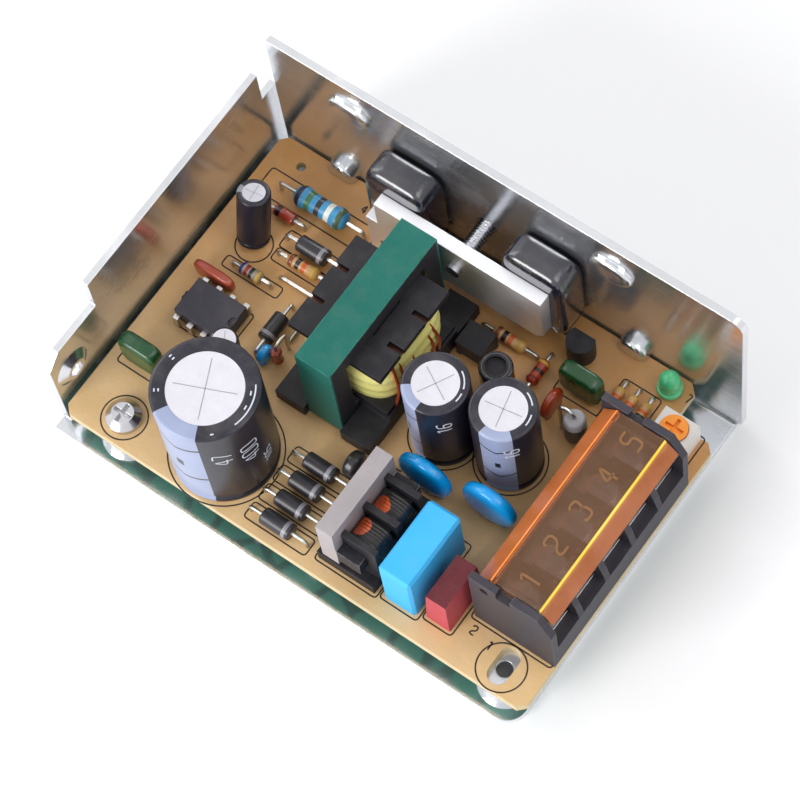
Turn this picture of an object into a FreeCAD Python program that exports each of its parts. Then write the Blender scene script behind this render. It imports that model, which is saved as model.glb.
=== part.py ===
"""Open frame power supply: a folded sheet chassis, one circuit board and the parts that stand on it.

Millimetres. +X runs along the board to the wire terminals, +Y to the back wall, +Z up.
The origin is the middle of the chassis' underside.
"""
import FreeCAD, Part
import math
import os
import re

import Sketcher

# Driving sizes of the chassis and its board. Heights are measured from the board's top face.
SIZES = {
    # chassis
    "chassis_length": 85.0,
    "chassis_depth": 58.0,
    "chassis_height": 36.0,
    "sheet": 1.2,
    "bend_radius": 1.7,
    "end_wall_gap": 0.8,
    "front_lip": 1.5,
    "floor_inset": 1.0,
    "floor_corner": 3.5,
    "back_wall_corner": 2.4,
    "corner_gap": 1.2,
    "corner_relief": 2.6,
    "end_wall_low": 20.4,
    "end_wall_high": 27.4,
    "end_wall_front": 2.4,
    "end_wall_step": 14.0,
    "end_wall_back": 3.3,
    "end_wall_chamfer": 2.6,
    "boss_height": 4.6,
    "base_hole_spacing": 55.0,
    "lance_width": 5.2,
    "lance_height": 2.8,
    "lance_reach": 1.7,
    "dimple_length": 7.0,
    "dimple_height": 5.0,
    "dimple_depth": 1.0,
    "dimple_up": 22.0,
    "cover_hole_up": 5.7,
    "cover_hole_dimple": 0.9,
    "board_thickness": 1.6,
    "supply_lean": 12.0,
    "board_back_gap": 0.3,
    # the flat middle of each dipped disc, as a share of its radius
    "disc_face_share": 0.62,
}

# Sizes of what stands on the board. They are drawn smaller together where a board is too small.
PARTS = {
    "boss_top_radius": 3.1,
    "boss_flare": 1.2,
    # screws
    "screw_core": 1.2,
    "thread_gap": 0.05,
    "screw_hole": 1.6,
    "pan_head": 2.75,
    "pan_head_height": 1.9,
    "sunk_head": 2.5,
    "cross_width": 0.6,
    "cross_length": 3.0,
    "cross_depth": 0.9,
    "screw_spare": 0.9,
    # circuit board
    "board_notch_length": 7.2,
    "board_notch_width": 6.6,
    "board_corner": 1.2,
    "slot_length": 6.1,
    "peg_hole": 0.75,
    "lead": 0.3,
    # clamp bar and the two sleeved power parts
    "bar_length": 31.6,
    "bar_thickness": 2.1,
    "bar_bottom": 4.3,
    "bar_top": 16.2,
    "bar_leg": 2.1,
    "bar_leg_top": 10.0,
    "bar_chamfer": 1.5,
    "clamp_screw_up": 11.3,
    "sleeve_width": 11.2,
    "sleeve_depth": 6.1,
    "sleeve_wall": 0.55,
    "sleeve_bottom": 1.5,
    "sleeve_step": 11.0,
    "sleeve_slope": 1.2,
    "sleeve_top": 19.5,
    "sleeve_tab_depth": 3.0,
    "package_width": 9.9,
    "package_depth": 4.5,
    "package_height": 8.2,
    "package_foot": 2.2,
    "package_tab": 1.3,
    "package_tab_height": 6.4,
    "package_leg": 0.7,
    "package_leg_spacing": 2.54,
    # transformer
    "core_thickness": 6.2,
    "core_length": 25.4,
    "core_foot": 1.3,
    "core_height": 19.0,
    "core_yoke": 3.1,
    "core_outer_leg": 3.2,
    "core_middle_leg": 6.3,
    "tape": 0.3,
    "bobbin_gap": 0.2,
    "bobbin_wall": 0.9,
    "flange_length": 16.4,
    "flange_leg_gap": 1.1,
    "flange": 1.2,
    "flange_slot": 0.9,
    "flange_slot_depth": 2.5,
    "flange_slot_spacing": 6.0,
    "rail_overhang": 1.1,
    "rail_outer": 17.0,
    "rail_height": 2.6,
    "pin_standoff": 0.5,
    "pin": 0.4,
    "pin_spacing": 5.0,
    "winding_length": 17.2,
    "winding_leg_gap": 1.0,
    "winding_corner": 4.5,
    # electrolytic capacitors
    "crimp_depth": 0.45,
    "crimp_height": 1.1,
    "can_edge": 0.55,
    "vent_recess": 0.25,
    "bulk_radius": 8.1,
    "bulk_height": 23.0,
    "bulk_disc": 5.65,
    "output_radius": 5.0,
    "output_height": 19.0,
    "output_disc": 3.45,
    "supply_radius": 2.6,
    "supply_height": 11.2,
    "small_can_radius": 2.1,
    "small_can_height": 11.0,
    "small_disc": 1.7,
    "small_can_lead": 0.7,
    "lead_clearance": 0.1,
    # output inductor
    "drum_radius": 2.3,
    "drum_waist": 1.2,
    "drum_rim": 1.2,
    "drum_height": 10.0,
    "drum_cup": 1.6,
    "drum_cup_depth": 0.8,
    "drum_sleeve_gap": 0.05,
    "drum_sleeve_wall": 0.25,
    # controller chip
    "chip_length": 8.8,
    "chip_width": 6.2,
    "chip_standoff": 0.9,
    "chip_height": 3.1,
    "chip_notch": 0.9,
    "chip_leg_width": 0.9,
    "chip_leg_thick": 0.35,
    "chip_leg_reach": 0.9,
    "chip_leg_spacing": 2.54,
    # common mode choke
    "choke_base_length": 10.0,
    "choke_base_width": 15.5,
    "choke_base_height": 2.5,
    "choke_bar_inset": 1.1,
    "choke_bar": 2.9,
    "choke_bar_bottom": 3.0,
    "choke_bar_top": 13.5,
    "choke_core_length": 14.8,
    "choke_core_inset": 0.1,
    "choke_leg": 2.4,
    "choke_leg_gap": 1.7,
    "choke_leg_up": 4.8,
    "choke_leg_height": 3.2,
    "choke_yoke": 1.6,
    "choke_tube_wall": 0.6,
    "choke_fit": 0.1,
    "choke_flange": 1.0,
    "choke_flange_top": 11.0,
    "choke_winding_depth": 0.9,
    "choke_winding_corner": 1.4,
    # mains suppression capacitor, fuse, disc and film capacitors
    "xcap_length": 5.6,
    "xcap_width": 12.8,
    "xcap_height": 11.3,
    "xcap_corner": 0.45,
    "fuse_length": 4.1,
    "fuse_width": 8.4,
    "fuse_height": 8.0,
    "fuse_taper": 0.35,
    "ycap_radius": 4.5,
    "ycap_thickness": 2.6,
    "ycap_up": 4.9,
    "ycap_lead_spread": 2.5,
    "film_length": 7.0,
    "film_width": 2.9,
    "film_height": 6.6,
    "film_standoff": 0.5,
    "film_corner": 1.1,
    "dipped_length": 7.2,
    "dipped_width": 1.6,
    "dipped_height": 3.6,
    "dipped_corner": 0.64,
    "ceramic_radius": 2.5,
    "ceramic_up": 3.0,
    "small_drop_radius": 1.5,
    "small_drop_up": 2.0,
    "drop_thickness": 1.6,
    "drop_lead_spread": 1.27,
    "small_drop_lead_spread": 0.76,
    "thermistor_radius": 2.1,
    "thermistor_thickness": 2.4,
    "thermistor_up": 2.6,
    # axial parts: spans between lead holes, barrel sizes and heights
    "bridge_span": 10.16,
    "bridge_spacing": 3.5,
    "diode_radius": 1.35,
    "diode_length": 5.2,
    "diode_up": 1.8,
    "rib": 0.15,
    "end_cap": 1.2,
    "big_resistor_span": 15.6,
    "big_resistor_length": 9.6,
    "big_resistor_radius": 1.8,
    "big_resistor_up": 2.4,
    "glass_span": 7.2,
    "glass_length": 3.7,
    "glass_radius": 0.95,
    "glass_up": 1.3,
    "snubber_span": 10.2,
    "snubber_lift": 0.2,
    "startup_span": 9.6,
    "resistor_length": 5.8,
    "resistor_radius": 1.05,
    "resistor_up": 1.35,
    "jumper_span": 6.6,
    "jumper_up": 0.6,
    "short_jumper_span": 2.2,
    "bobbin_diode_span": 9.2,
    "bobbin_diode_length": 4.6,
    "bobbin_diode_radius": 1.3,
    "sense_span": 7.1,
    "sense_length": 4.0,
    "bleed_span": 9.8,
    "damping_span": 7.4,
    "damping_length": 4.4,
    "feedback_span": 6.6,
    "feedback_length": 3.9,
    "feedback_spacing": 2.3,
    "feedback_radius": 0.9,
    # upright parts
    "upright_resistor_radius": 0.9,
    "upright_resistor_length": 3.6,
    "upright_diode_radius": 1.75,
    "upright_diode_length": 6.4,
    "upright_foot": 0.6,
    "upright_reach": 2.54,
    "upright_hairpin": 1.2,
    # signal parts
    "coupler_length": 4.6,
    "coupler_width": 4.2,
    "coupler_height": 3.4,
    "coupler_standoff": 0.7,
    "reference_radius": 2.2,
    "reference_flat": 1.25,
    "reference_bottom": 1.0,
    "reference_height": 4.5,
    "led_flange": 1.95,
    "led_flange_height": 0.9,
    "led_radius": 1.6,
    "led_height": 5.0,
    "led_foot": 0.4,
    "trimmer_length": 5.9,
    "trimmer_width": 4.8,
    "trimmer_height": 5.0,
    "rotor_radius": 2.1,
    "rotor_gap": 0.08,
    "rotor_depth": 0.9,
    "rotor_stand": 0.35,
    "rotor_shaft": 0.8,
    "rotor_shaft_length": 1.6,
    "rotor_slot": 0.55,
    "rotor_slot_length": 3.0,
    # wire terminals
    "terminal_spacing": 6.5,
    "terminal_end_wall": 1.2,
    "terminal_end_height": 15.8,
    "terminal_floor": 5.6,
    "terminal_back_wall": 1.2,
    "terminal_back_height": 10.8,
    "terminal_fin": 1.1,
    "terminal_fin_top": 12.9,
    "terminal_fin_start": 5.6,
    "terminal_fin_reach": 12.1,
    "terminal_notch": 2.4,
    "terminal_notch_start": 4.6,
    "terminal_notch_depth": 1.7,
    "terminal_step": 2.2,
    "terminal_step_drop": 4.2,
    "plate_start": 1.8,
    "plate_end": 12.0,
    "plate_width": 5.0,
    "plate_thickness": 1.0,
    "contact_washer": 0.7,
    "contact_width": 4.9,
    "contact_depth": 5.0,
    "terminal_screw_in": 6.2,
    "terminal_screw_head": 2.4,
    "terminal_screw_head_height": 1.7,
    "terminal_screw_length": 3.2,
    # terminal cover
    "hinge_in": 2.5,
    "hinge_up": 13.7,
    "hinge_pin": 0.7,
    "hinge_gap": 0.06,
    "cover_play": 0.25,
    "cover_behind": 2.0,
    "cover_ahead": 10.8,
    "cover_skirt": 0.35,
    "cover_crown": 1.9,
    "cover_slope": 2.3,
    "cover_wall": 0.8,
    "cover_ridge": 0.4,
    "cover_end_inset": 1.2,
    # free room left in the fullest row across the board and the fullest column along it
    "row_clearance": 24.94,
    "column_clearance": 8.2,
}

# Places on the board, as shares of its length and of its width from the front left corner.
SHARES = {
    "lance_left_across_share": 0.1386,
    "lance_right_across_share": 0.7771,
    "dimple_left_across_share": 0.1807,
    "dimple_right_across_share": 0.7349,
    "cover_hole_along_share": 0.0891,
    "board_screw_across_share": 0.1012,
    "board_screw_along_share": 0.0745,
    "slot_across_share": 0.9265,
    "peg_hole_across_share": 0.0669,
    "peg_hole_along_share": 0.9436,
    "bar_across_share": 0.2699,
    "clamp_screw_across_share": 0.4663,
    "transistor_across_share": 0.3157,
    "rectifier_across_share": 0.6096,
    "core_across_share": 0.409,
    "core_along_share": 0.6,
    "bulk_across_share": 0.2916,
    "bulk_along_share": 0.1509,
    "output_front_across_share": 0.5952,
    "output_front_along_share": 0.5127,
    "output_rear_across_share": 0.7181,
    "output_rear_along_share": 0.5509,
    "supply_across_share": 0.0831,
    "supply_along_share": 0.6945,
    "small_can_across_share": 0.2084,
    "small_can_along_share": 0.3491,
    "drum_across_share": 0.6289,
    "drum_along_share": 0.6909,
    "chip_across_share": 0.1181,
    "chip_along_share": 0.44,
    "choke_across_share": 0.5458,
    "choke_along_share": 0.0455,
    "xcap_across_share": 0.6819,
    "xcap_along_share": 0.0545,
    "fuse_across_share": 0.7651,
    "fuse_along_share": 0.0709,
    "ycap_left_across_share": 0.6277,
    "ycap_left_along_share": 0.3655,
    "ycap_right_across_share": 0.7518,
    "ycap_right_along_share": 0.3927,
    "film_front_across_share": 0.0265,
    "film_front_along_share": 0.2055,
    "film_rear_across_share": 0.7072,
    "film_rear_along_share": 0.7891,
    "dipped_across_share": 0.0783,
    "dipped_along_share": 0.5327,
    "ceramic_across_share": 0.7253,
    "ceramic_along_share": 0.7273,
    "small_drop_across_share": 0.2446,
    "small_drop_along_share": 0.4236,
    "thermistor_across_share": 0.5048,
    "thermistor_along_share": 0.2982,
    "bridge_across_share": 0.3958,
    "bridge_along_share": 0.0527,
    "big_resistor_across_share": 0.0651,
    "big_resistor_along_share": 0.8582,
    "glass_across_share": 0.0639,
    "glass_along_share": 0.7927,
    "snubber_across_share": 0.1349,
    "snubber_along_share": 0.7436,
    "startup_across_share": 0.1398,
    "startup_along_share": 0.6927,
    "jumper_across_share": 0.1699,
    "jumper_along_share": 0.64,
    "short_jumper_across_share": 0.2602,
    "short_jumper_along_share": 0.4982,
    "bobbin_diode_across_share": 0.2265,
    "bobbin_diode_along_share": 0.4164,
    "sense_across_share": 0.0831,
    "sense_along_share": 0.6,
    "bleed_across_share": 0.5301,
    "bleed_along_share": 0.8273,
    "damping_across_share": 0.6663,
    "damping_along_share": 0.7236,
    "feedback_across_share": 0.806,
    "feedback_along_share": 0.7836,
    "upright_resistor_across_share": 0.2669,
    "upright_resistor_along_share": 0.4364,
    "upright_diode_across_share": 0.788,
    "upright_diode_along_share": 0.7018,
    "coupler_across_share": 0.5193,
    "coupler_along_share": 0.7255,
    "reference_across_share": 0.7072,
    "reference_along_share": 0.9036,
    "led_across_share": 0.8735,
    "led_along_share": 0.9509,
    "trimmer_across_share": 0.9,
    "trimmer_along_share": 0.7891,
    "terminal_first_along_share": 0.2127,
    "terminal_across_share": 0.8337,
    "terminal_along_share": 0.1436,
}

# Places worked out from the driving sizes, in the same plain form.
PLACES = {
    "board_length": "chassis_length - sheet - end_wall_gap",
    "board_width": "chassis_depth - front_lip - sheet - board_back_gap",
    "front_row": "2 * bulk_radius + bridge_span + choke_base_length + xcap_length + fuse_length"
                 " + plate_end + row_clearance",
    "back_column": "3 * bridge_spacing + 2 * diode_radius + core_length + sleeve_depth"
                   " + bar_thickness + column_clearance",
    "board_left": "end_wall_gap + sheet - chassis_length / 2",
    "board_front": "front_lip - chassis_depth / 2",
    "board_bottom": "sheet + boss_height",
    "board_top": "board_bottom + board_thickness",
    "wall_inner": "chassis_depth - sheet - front_lip",
    "tapped": "screw_core + thread_gap",
    "sleeve_front": "wall_inner - sleeve_depth",
    "core_top": "core_foot + core_height",
    "core_window": "core_length - 2 * core_outer_leg",
    "flange_width": "core_window - 2 * flange_leg_gap",
    "winding_width": "core_window - 2 * winding_leg_gap",
    "rail_length": "core_length + 2 * rail_overhang",
    "tube_length": "core_thickness + 2 * (bobbin_gap + bobbin_wall)",
    "tube_width": "core_middle_leg + 2 * (bobbin_gap + bobbin_wall)",
    "flange_low": "core_foot + core_yoke",
    "flange_high": "core_top - core_yoke - flange",
    "choke_leg_start": "choke_bar_inset + choke_bar + choke_leg_gap",
    "terminal_length": "board_length - terminal_across",
    "terminal_width": "4 * terminal_spacing + 2 * (terminal_first_along - terminal_along)",
}

for share in SHARES:
    whole = "board_length" if share.endswith("_across_share") else "board_width"
    PLACES[share[:-len("_share")]] = share + " * " + whole

AXIS_X = FreeCAD.Vector(1, 0, 0)
AXIS_Y = FreeCAD.Vector(0, 1, 0)
AXIS_Z = FreeCAD.Vector(0, 0, 1)

doc = FreeCAD.newDocument("open_frame_power_supply")
NODES = []


def fill_sheet():
    """Write each driving size to a row of the sheet, with its name as the alias."""
    sheet = doc.addObject("Spreadsheet::Sheet", "sizes")
    rows = {**SIZES, **PARTS, **SHARES}
    for row, (name, value) in enumerate(rows.items(), 1):
        sheet.set("A%d" % row, name)
        sheet.set("B%d" % row, str(value))
        sheet.setAlias("B%d" % row, name)
    doc.recompute()


def spelled(text, fit):
    """Spell an expression of plain names the way the sheet wants it, part sizes times the fit."""
    def spell(match):
        word = match.group()
        if word in PLACES:
            return "(" + spelled(PLACES[word], fit) + ")"
        if word in PARTS and fit:
            return "(sizes." + word + " * " + fit + ")"
        return "sizes." + word if word in PARTS or word in SIZES or word in SHARES else word
    return re.sub(r"[a-z]\w*", spell, text)


FIT = spelled("min(1; board_length / front_row; board_width / back_column)", "")


def ex(text):
    """Spell an expression for the board as it is, with its parts drawn to fit."""
    return spelled(text, FIT)


def move(thing, path, at):
    """Bind a placement's three coordinates."""
    for axis, text in zip("xyz", at):
        thing.setExpression(path + ".Base." + axis, ex(text))


def body(label):
    """A new sub-part."""
    piece = doc.addObject("PartDesign::Body", label)
    piece.Label = label
    return piece


def node(piece, across="0", along="0", up="0", axis=AXIS_Z, turn=0.0, origin="board"):
    """Seat a finished sub-part, by its own origin, on the board or in the chassis' frame."""
    piece.Placement.Rotation = FreeCAD.Rotation(axis, turn)
    if origin == "board":
        across = "board_left + " + across
        along = "board_front + " + along
        up = "board_top + " + up
    move(piece, "Placement", (across, along, up))
    NODES.append(piece)
    return piece


def plane_of(piece, role):
    """One of a sub-part's own origin planes."""
    return next(feature for feature in piece.Origin.OriginFeatures if feature.Role == role)


def outline(piece, role, corners, lift="0", drop="0"):
    """A closed outline on an origin plane, each corner held by its two distances."""
    sketch = piece.newObject("Sketcher::SketchObject", "Outline")
    sketch.AttachmentSupport = [(plane_of(piece, role), "")]
    sketch.MapMode = "FlatFace"
    sketch.setExpression("AttachmentOffset.Base.z", ex(lift))
    sketch.setExpression("AttachmentOffset.Base.y", ex(drop))
    hold_corners(sketch, corners, closed=True)
    return sketch


def hold_corners(sketch, corners, closed):
    """Draw straight lines from corner to corner and dimension each corner from the origin."""
    count = len(corners)
    around = [2 * math.pi * i / count for i in range(count)]
    spots = [FreeCAD.Vector(math.cos(a), math.sin(a), 0) for a in around]
    lines = count if closed else count - 1
    for i in range(lines):
        sketch.addGeometry(Part.LineSegment(spots[i], spots[(i + 1) % count]))
    for i in range(lines if closed else lines - 1):
        sketch.addConstraint(Sketcher.Constraint("Coincident", i, 2, (i + 1) % lines, 1))
    for i, pair in enumerate(corners):
        line, end = (i, 1) if i < lines else (i - 1, 2)
        for kind, text in zip(("DistanceX", "DistanceY"), pair):
            index = sketch.addConstraint(Sketcher.Constraint(kind, -1, 1, line, end, 1.0))
            sketch.setExpression("Constraints[%d]" % index, ex(text))


def pad(piece, sketch, length, reverse=False):
    """Raise an outline into a solid."""
    feature = piece.newObject("PartDesign::Pad", "Pad")
    feature.Profile = sketch
    feature.Reversed = reverse
    feature.setExpression("Length", ex(length))
    return feature


def pocket(piece, sketch, length, reverse=False):
    """Sink an outline into the solid."""
    feature = piece.newObject("PartDesign::Pocket", "Pocket")
    feature.Profile = sketch
    feature.Reversed = reverse
    feature.setExpression("Length", ex(length))
    return feature


def turned(piece, corners, about="V_Axis", drop="0"):
    """Turn an outline of (radius, height) corners, or (place, radius) ones about a lying axis."""
    sketch = outline(piece, "XZ_Plane", corners, drop=drop)
    feature = piece.newObject("PartDesign::Revolution", "Revolution")
    feature.Profile = sketch
    feature.ReferenceAxis = (sketch, [about])
    feature.Angle = 360.0
    return feature


def solid(piece, kind, at, axis=AXIS_Z, turn=0.0, **sizes):
    """Add or cut a plain solid: kind is such as AdditiveBox or SubtractiveCylinder."""
    feature = piece.newObject("PartDesign::" + kind, kind)
    for name, text in sizes.items():
        feature.setExpression(name, ex(text))
    feature.Placement.Rotation = FreeCAD.Rotation(axis, turn)
    move(feature, "Placement", at)
    return feature


def block(piece, at, size, cut=False):
    """Add or cut a block from its low corner."""
    length, width, height = size
    kind = "SubtractiveBox" if cut else "AdditiveBox"
    return solid(piece, kind, at, Length=length, Width=width, Height=height)


def rod(piece, at, radius, height, cut=False, axis=AXIS_Z, turn=0.0):
    """Add or cut a round bar from the middle of its low end."""
    kind = "SubtractiveCylinder" if cut else "AdditiveCylinder"
    return solid(piece, kind, at, axis, turn, Radius=radius, Height=height)


def soften(piece, radius, test, kind="Fillet", size="Radius"):
    """Round or chamfer the edges of the finished form so far that pass the test."""
    doc.recompute()
    base = piece.Tip
    names = ["Edge%d" % i for i, edge in enumerate(base.Shape.Edges, 1) if test(edge)]
    feature = piece.newObject("PartDesign::" + kind, kind)
    feature.Base = (base, names)
    feature.setExpression(size, ex(radius))
    return feature


def runs(edge, axis):
    """True for a straight edge that runs along the axis."""
    if edge.Curve.TypeId != "Part::GeomLine":
        return False
    return abs(abs(edge.Curve.Direction.dot(axis)) - 1.0) < 1e-6


def middle(edge):
    """The middle of an edge's box."""
    return edge.BoundBox.Center


def near(first, second):
    """True where two lengths agree."""
    return abs(first - second) < 1e-4


def group(label, pieces):
    """One sub-part of several like solids, each already in its place."""
    joined = doc.addObject("Part::Compound", label)
    joined.Links = pieces
    joined.Label = label
    NODES.append(joined)
    return joined


# chassis

def chassis():
    """Folded sheet: floor, back wall and low end wall, with drawn bosses, lances and dimples."""
    piece = body("chassis")
    floor = outline(piece, "XY_Plane", [
        ("0", "0"), ("chassis_length - floor_inset", "0"),
        ("chassis_length - floor_inset", "chassis_depth"), ("0", "chassis_depth")])
    pad(piece, floor, "sheet")
    soften(piece, "floor_corner", lambda edge: runs(edge, AXIS_Z) and middle(edge).y < 1
           and middle(edge).x > 1)
    wall_start = "sheet + corner_gap"
    back = outline(piece, "XZ_Plane", [
        (wall_start, "0"), ("chassis_length - back_wall_corner", "0"),
        ("chassis_length", "back_wall_corner"), ("chassis_length", "chassis_height"),
        (wall_start, "chassis_height")], lift="-chassis_depth")
    pad(piece, back, "sheet")
    soften(piece, "back_wall_corner", lambda edge: runs(edge, AXIS_Y)
           and near(middle(edge).x, SIZES["chassis_length"])
           and near(middle(edge).z, SIZES["chassis_height"]))
    end = outline(piece, "YZ_Plane", [
        ("end_wall_front", "0"), ("chassis_depth", "0"),
        ("chassis_depth", "end_wall_low"), ("chassis_depth - end_wall_back", "end_wall_low"),
        ("chassis_depth - end_wall_back", "end_wall_high"), ("end_wall_step", "end_wall_high"),
        ("end_wall_step", "end_wall_low"), ("end_wall_front + end_wall_chamfer", "end_wall_low"),
        ("end_wall_front", "end_wall_low - end_wall_chamfer")])
    pad(piece, end, "sheet")
    relief = "sheet + corner_gap"
    block(piece, ("0", "chassis_depth - corner_relief", "0"),
          (relief, "corner_relief", "corner_relief"), cut=True)
    fold(piece)
    bosses(piece)
    wall_lances(piece)
    chassis_holes(piece)
    node(piece, "-chassis_length / 2", "-chassis_depth / 2", "0", origin="chassis")


def fold(piece):
    """Round both bends, outside and inside, where the walls rise from the floor."""
    depth = SIZES["chassis_depth"]
    sheet = SIZES["sheet"]
    soften(piece, "bend_radius", lambda edge: near(middle(edge).z, 0) and (
        (runs(edge, AXIS_X) and near(middle(edge).y, depth))
        or (runs(edge, AXIS_Y) and near(middle(edge).x, 0))))
    soften(piece, "bend_radius - sheet", lambda edge: near(middle(edge).z, sheet) and (
        (runs(edge, AXIS_X) and near(middle(edge).y, depth - sheet))
        or (runs(edge, AXIS_Y) and near(middle(edge).x, sheet))))


def bosses(piece):
    """Two bosses drawn up from the floor, hollow underneath, under the board's front holes."""
    left = "sheet + end_wall_gap"
    along = "front_lip + board_screw_along"
    for across in (left + " + board_screw_across", left + " + slot_across"):
        solid(piece, "AdditiveCone", (across, along, "sheet"),
              Radius1="boss_top_radius + boss_flare", Radius2="boss_top_radius", Height="boss_height")
        solid(piece, "SubtractiveCone", (across, along, "0"),
              Radius1="boss_top_radius + boss_flare - sheet",
              Radius2="boss_top_radius - sheet / 2", Height="boss_height")
        rod(piece, (across, along, "0"), "tapped", "sheet + boss_height", cut=True)


def wall_lances(piece):
    """Half round tongues sheared inward over the board's edge, and longer pressed dimples above them."""
    left = "sheet + end_wall_gap"
    for across in ("lance_left_across", "lance_right_across"):
        middle_across = left + " + " + across
        lance(piece, middle_across, "chassis_depth - sheet", "board_top", "0", "AdditiveLoft")
        lance(piece, middle_across, "chassis_depth", "board_top", "sheet / 2", "SubtractiveLoft")
    for across in ("dimple_left_across", "dimple_right_across"):
        middle_across = left + " + " + across
        dimple(piece, middle_across, "chassis_depth - sheet", "0", "AdditiveLoft")
        dimple(piece, middle_across, "chassis_depth", "sheet / 2", "SubtractiveLoft")


def drawn(piece, kind, wide, narrow, face, reach):
    """Join two outlines on planes parallel to the back wall, the narrow one further inside."""
    loft = piece.newObject("PartDesign::" + kind, kind)
    loft.Profile = outline(piece, "XZ_Plane", wide, lift="-(%s)" % face)
    loft.Sections = [outline(piece, "XZ_Plane", narrow, lift="%s - (%s)" % (reach, face))]
    loft.Ruled = True


def arch(middle_across, low, half, rise):
    """Corners of a half round arch, five straight runs over a flat sill."""
    turns = [math.radians(36 * i) for i in range(6)]
    return [(middle_across + " + (%s) * %.4f" % (half, math.cos(turn)),
             low + " + (%s) * %.4f" % (rise, math.sin(turn))) for turn in turns]


def lance(piece, middle_across, face, low, less, kind):
    """One tongue, or its hollow where less is the wall it leaves."""
    half = "lance_width / 2 - " + less
    rise = "lance_height - " + less
    wide = arch(middle_across, low, half, rise)
    narrow = arch(middle_across, low, half + " - lance_reach / 2", rise + " - lance_reach / 2")
    drawn(piece, kind, wide, narrow, face, "lance_reach")


def oval(middle_across, mid_up, half, rise):
    """Corners of a long eight sided oval."""
    bevel = "(%s) / 2" % rise
    pairs = []
    for side, up in ((1, -1), (1, 1), (-1, 1), (-1, -1)):
        outer = ("%s + %d * (%s)" % (middle_across, side, half), "%s + %d * %s" % (mid_up, up, bevel))
        inner = ("%s + %d * (%s - %s)" % (middle_across, side, half, bevel),
                 "%s + %d * (%s)" % (mid_up, up, rise))
        pairs += [outer, inner] if side * up > 0 else [inner, outer]
    return pairs


def dimple(piece, middle_across, face, less, kind):
    """One long dimple, or its hollow where less is the wall it leaves."""
    half = "dimple_length / 2 - " + less
    rise = "dimple_height / 2 - " + less
    mid_up = "board_top + dimple_up"
    wide = oval(middle_across, mid_up, half, rise)
    narrow = oval(middle_across, mid_up, half + " - dimple_depth", rise + " - dimple_depth")
    drawn(piece, kind, wide, narrow, face, "dimple_depth")


def chassis_holes(piece):
    """The countersunk clamp hole, the dimpled cover hole and the tapped holes of the floor."""
    left = "sheet + end_wall_gap"
    up = "board_top + clamp_screw_up"
    across = left + " + clamp_screw_across"
    rod(piece, (across, "chassis_depth - 2 * sheet", up), "screw_hole", "3 * sheet",
        cut=True, axis=AXIS_X, turn=-90)
    solid(piece, "SubtractiveCone", (across, "chassis_depth - (sunk_head - screw_core)", up), AXIS_X, -90,
          Radius1="screw_core + thread_gap", Radius2="sunk_head + thread_gap",
          Height="sunk_head - screw_core")
    along = "front_lip + cover_hole_along"
    up = "board_top + cover_hole_up"
    solid(piece, "AdditiveCone", ("sheet", along, up), AXIS_Y, 90,
          Radius1="tapped + sheet + cover_hole_dimple", Radius2="tapped + sheet / 2",
          Height="cover_hole_dimple")
    solid(piece, "SubtractiveCone", ("0", along, up), AXIS_Y, 90,
          Radius1="tapped + cover_hole_dimple", Radius2="tapped", Height="cover_hole_dimple")
    rod(piece, ("0", along, up), "tapped", "sheet + cover_hole_dimple", cut=True, axis=AXIS_Y, turn=90)
    for side in (" - ", " + "):
        rod(piece, ("chassis_length / 2" + side + "base_hole_spacing / 2", "chassis_depth / 2", "0"),
            "tapped", "sheet", cut=True)


# board and screws

def circuit_board():
    """The board, with a notch at the back right corner, its screw hole, slot and peg hole."""
    piece = body("circuit_board")
    shape = outline(piece, "XY_Plane", [
        ("0", "0"), ("board_length", "0"), ("board_length", "board_width - board_notch_width"),
        ("board_length - board_notch_length", "board_width - board_notch_width"),
        ("board_length - board_notch_length", "board_width"), ("0", "board_width")])
    pad(piece, shape, "board_thickness")
    soften(piece, "board_corner", lambda edge: runs(edge, AXIS_Z), kind="Chamfer", size="Size")
    rod(piece, ("board_screw_across", "board_screw_along", "0"), "screw_hole", "board_thickness", cut=True)
    run = "(slot_length / 2 - screw_hole)"
    block(piece, ("slot_across - screw_hole", "board_screw_along - " + run, "0"),
          ("2 * screw_hole", "2 * " + run, "board_thickness"), cut=True)
    for side in (" - ", " + "):
        rod(piece, ("slot_across", "board_screw_along" + side + run, "0"),
            "screw_hole", "board_thickness", cut=True)
    rod(piece, ("peg_hole_across", "peg_hole_along", "0"), "peg_hole", "board_thickness", cut=True)
    node(piece, up="-board_thickness")


def cross_recess(piece, top):
    """The crossed driver recess in a screw's head."""
    block(piece, ("-cross_length / 2", "-cross_width / 2", top + " - cross_depth"),
          ("cross_length", "cross_width", "2 * cross_depth"), cut=True)
    block(piece, ("-cross_width / 2", "-cross_length / 2", top + " - cross_depth"),
          ("cross_width", "cross_length", "2 * cross_depth"), cut=True)


def board_screw():
    """Pan head screw through the board into its boss."""
    piece = body("board_screw")
    shank = "(board_thickness + sheet + screw_spare)"
    turned(piece, [
        ("0", "0"), ("screw_core", "0"), ("screw_core", shank), ("pan_head", shank),
        ("pan_head", shank + " + pan_head_height * 0.45"),
        ("pan_head * 0.62", shank + " + pan_head_height"), ("0", shank + " + pan_head_height")])
    cross_recess(piece, shank + " + pan_head_height")
    node(piece, "board_screw_across", "board_screw_along", "-" + shank)


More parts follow.
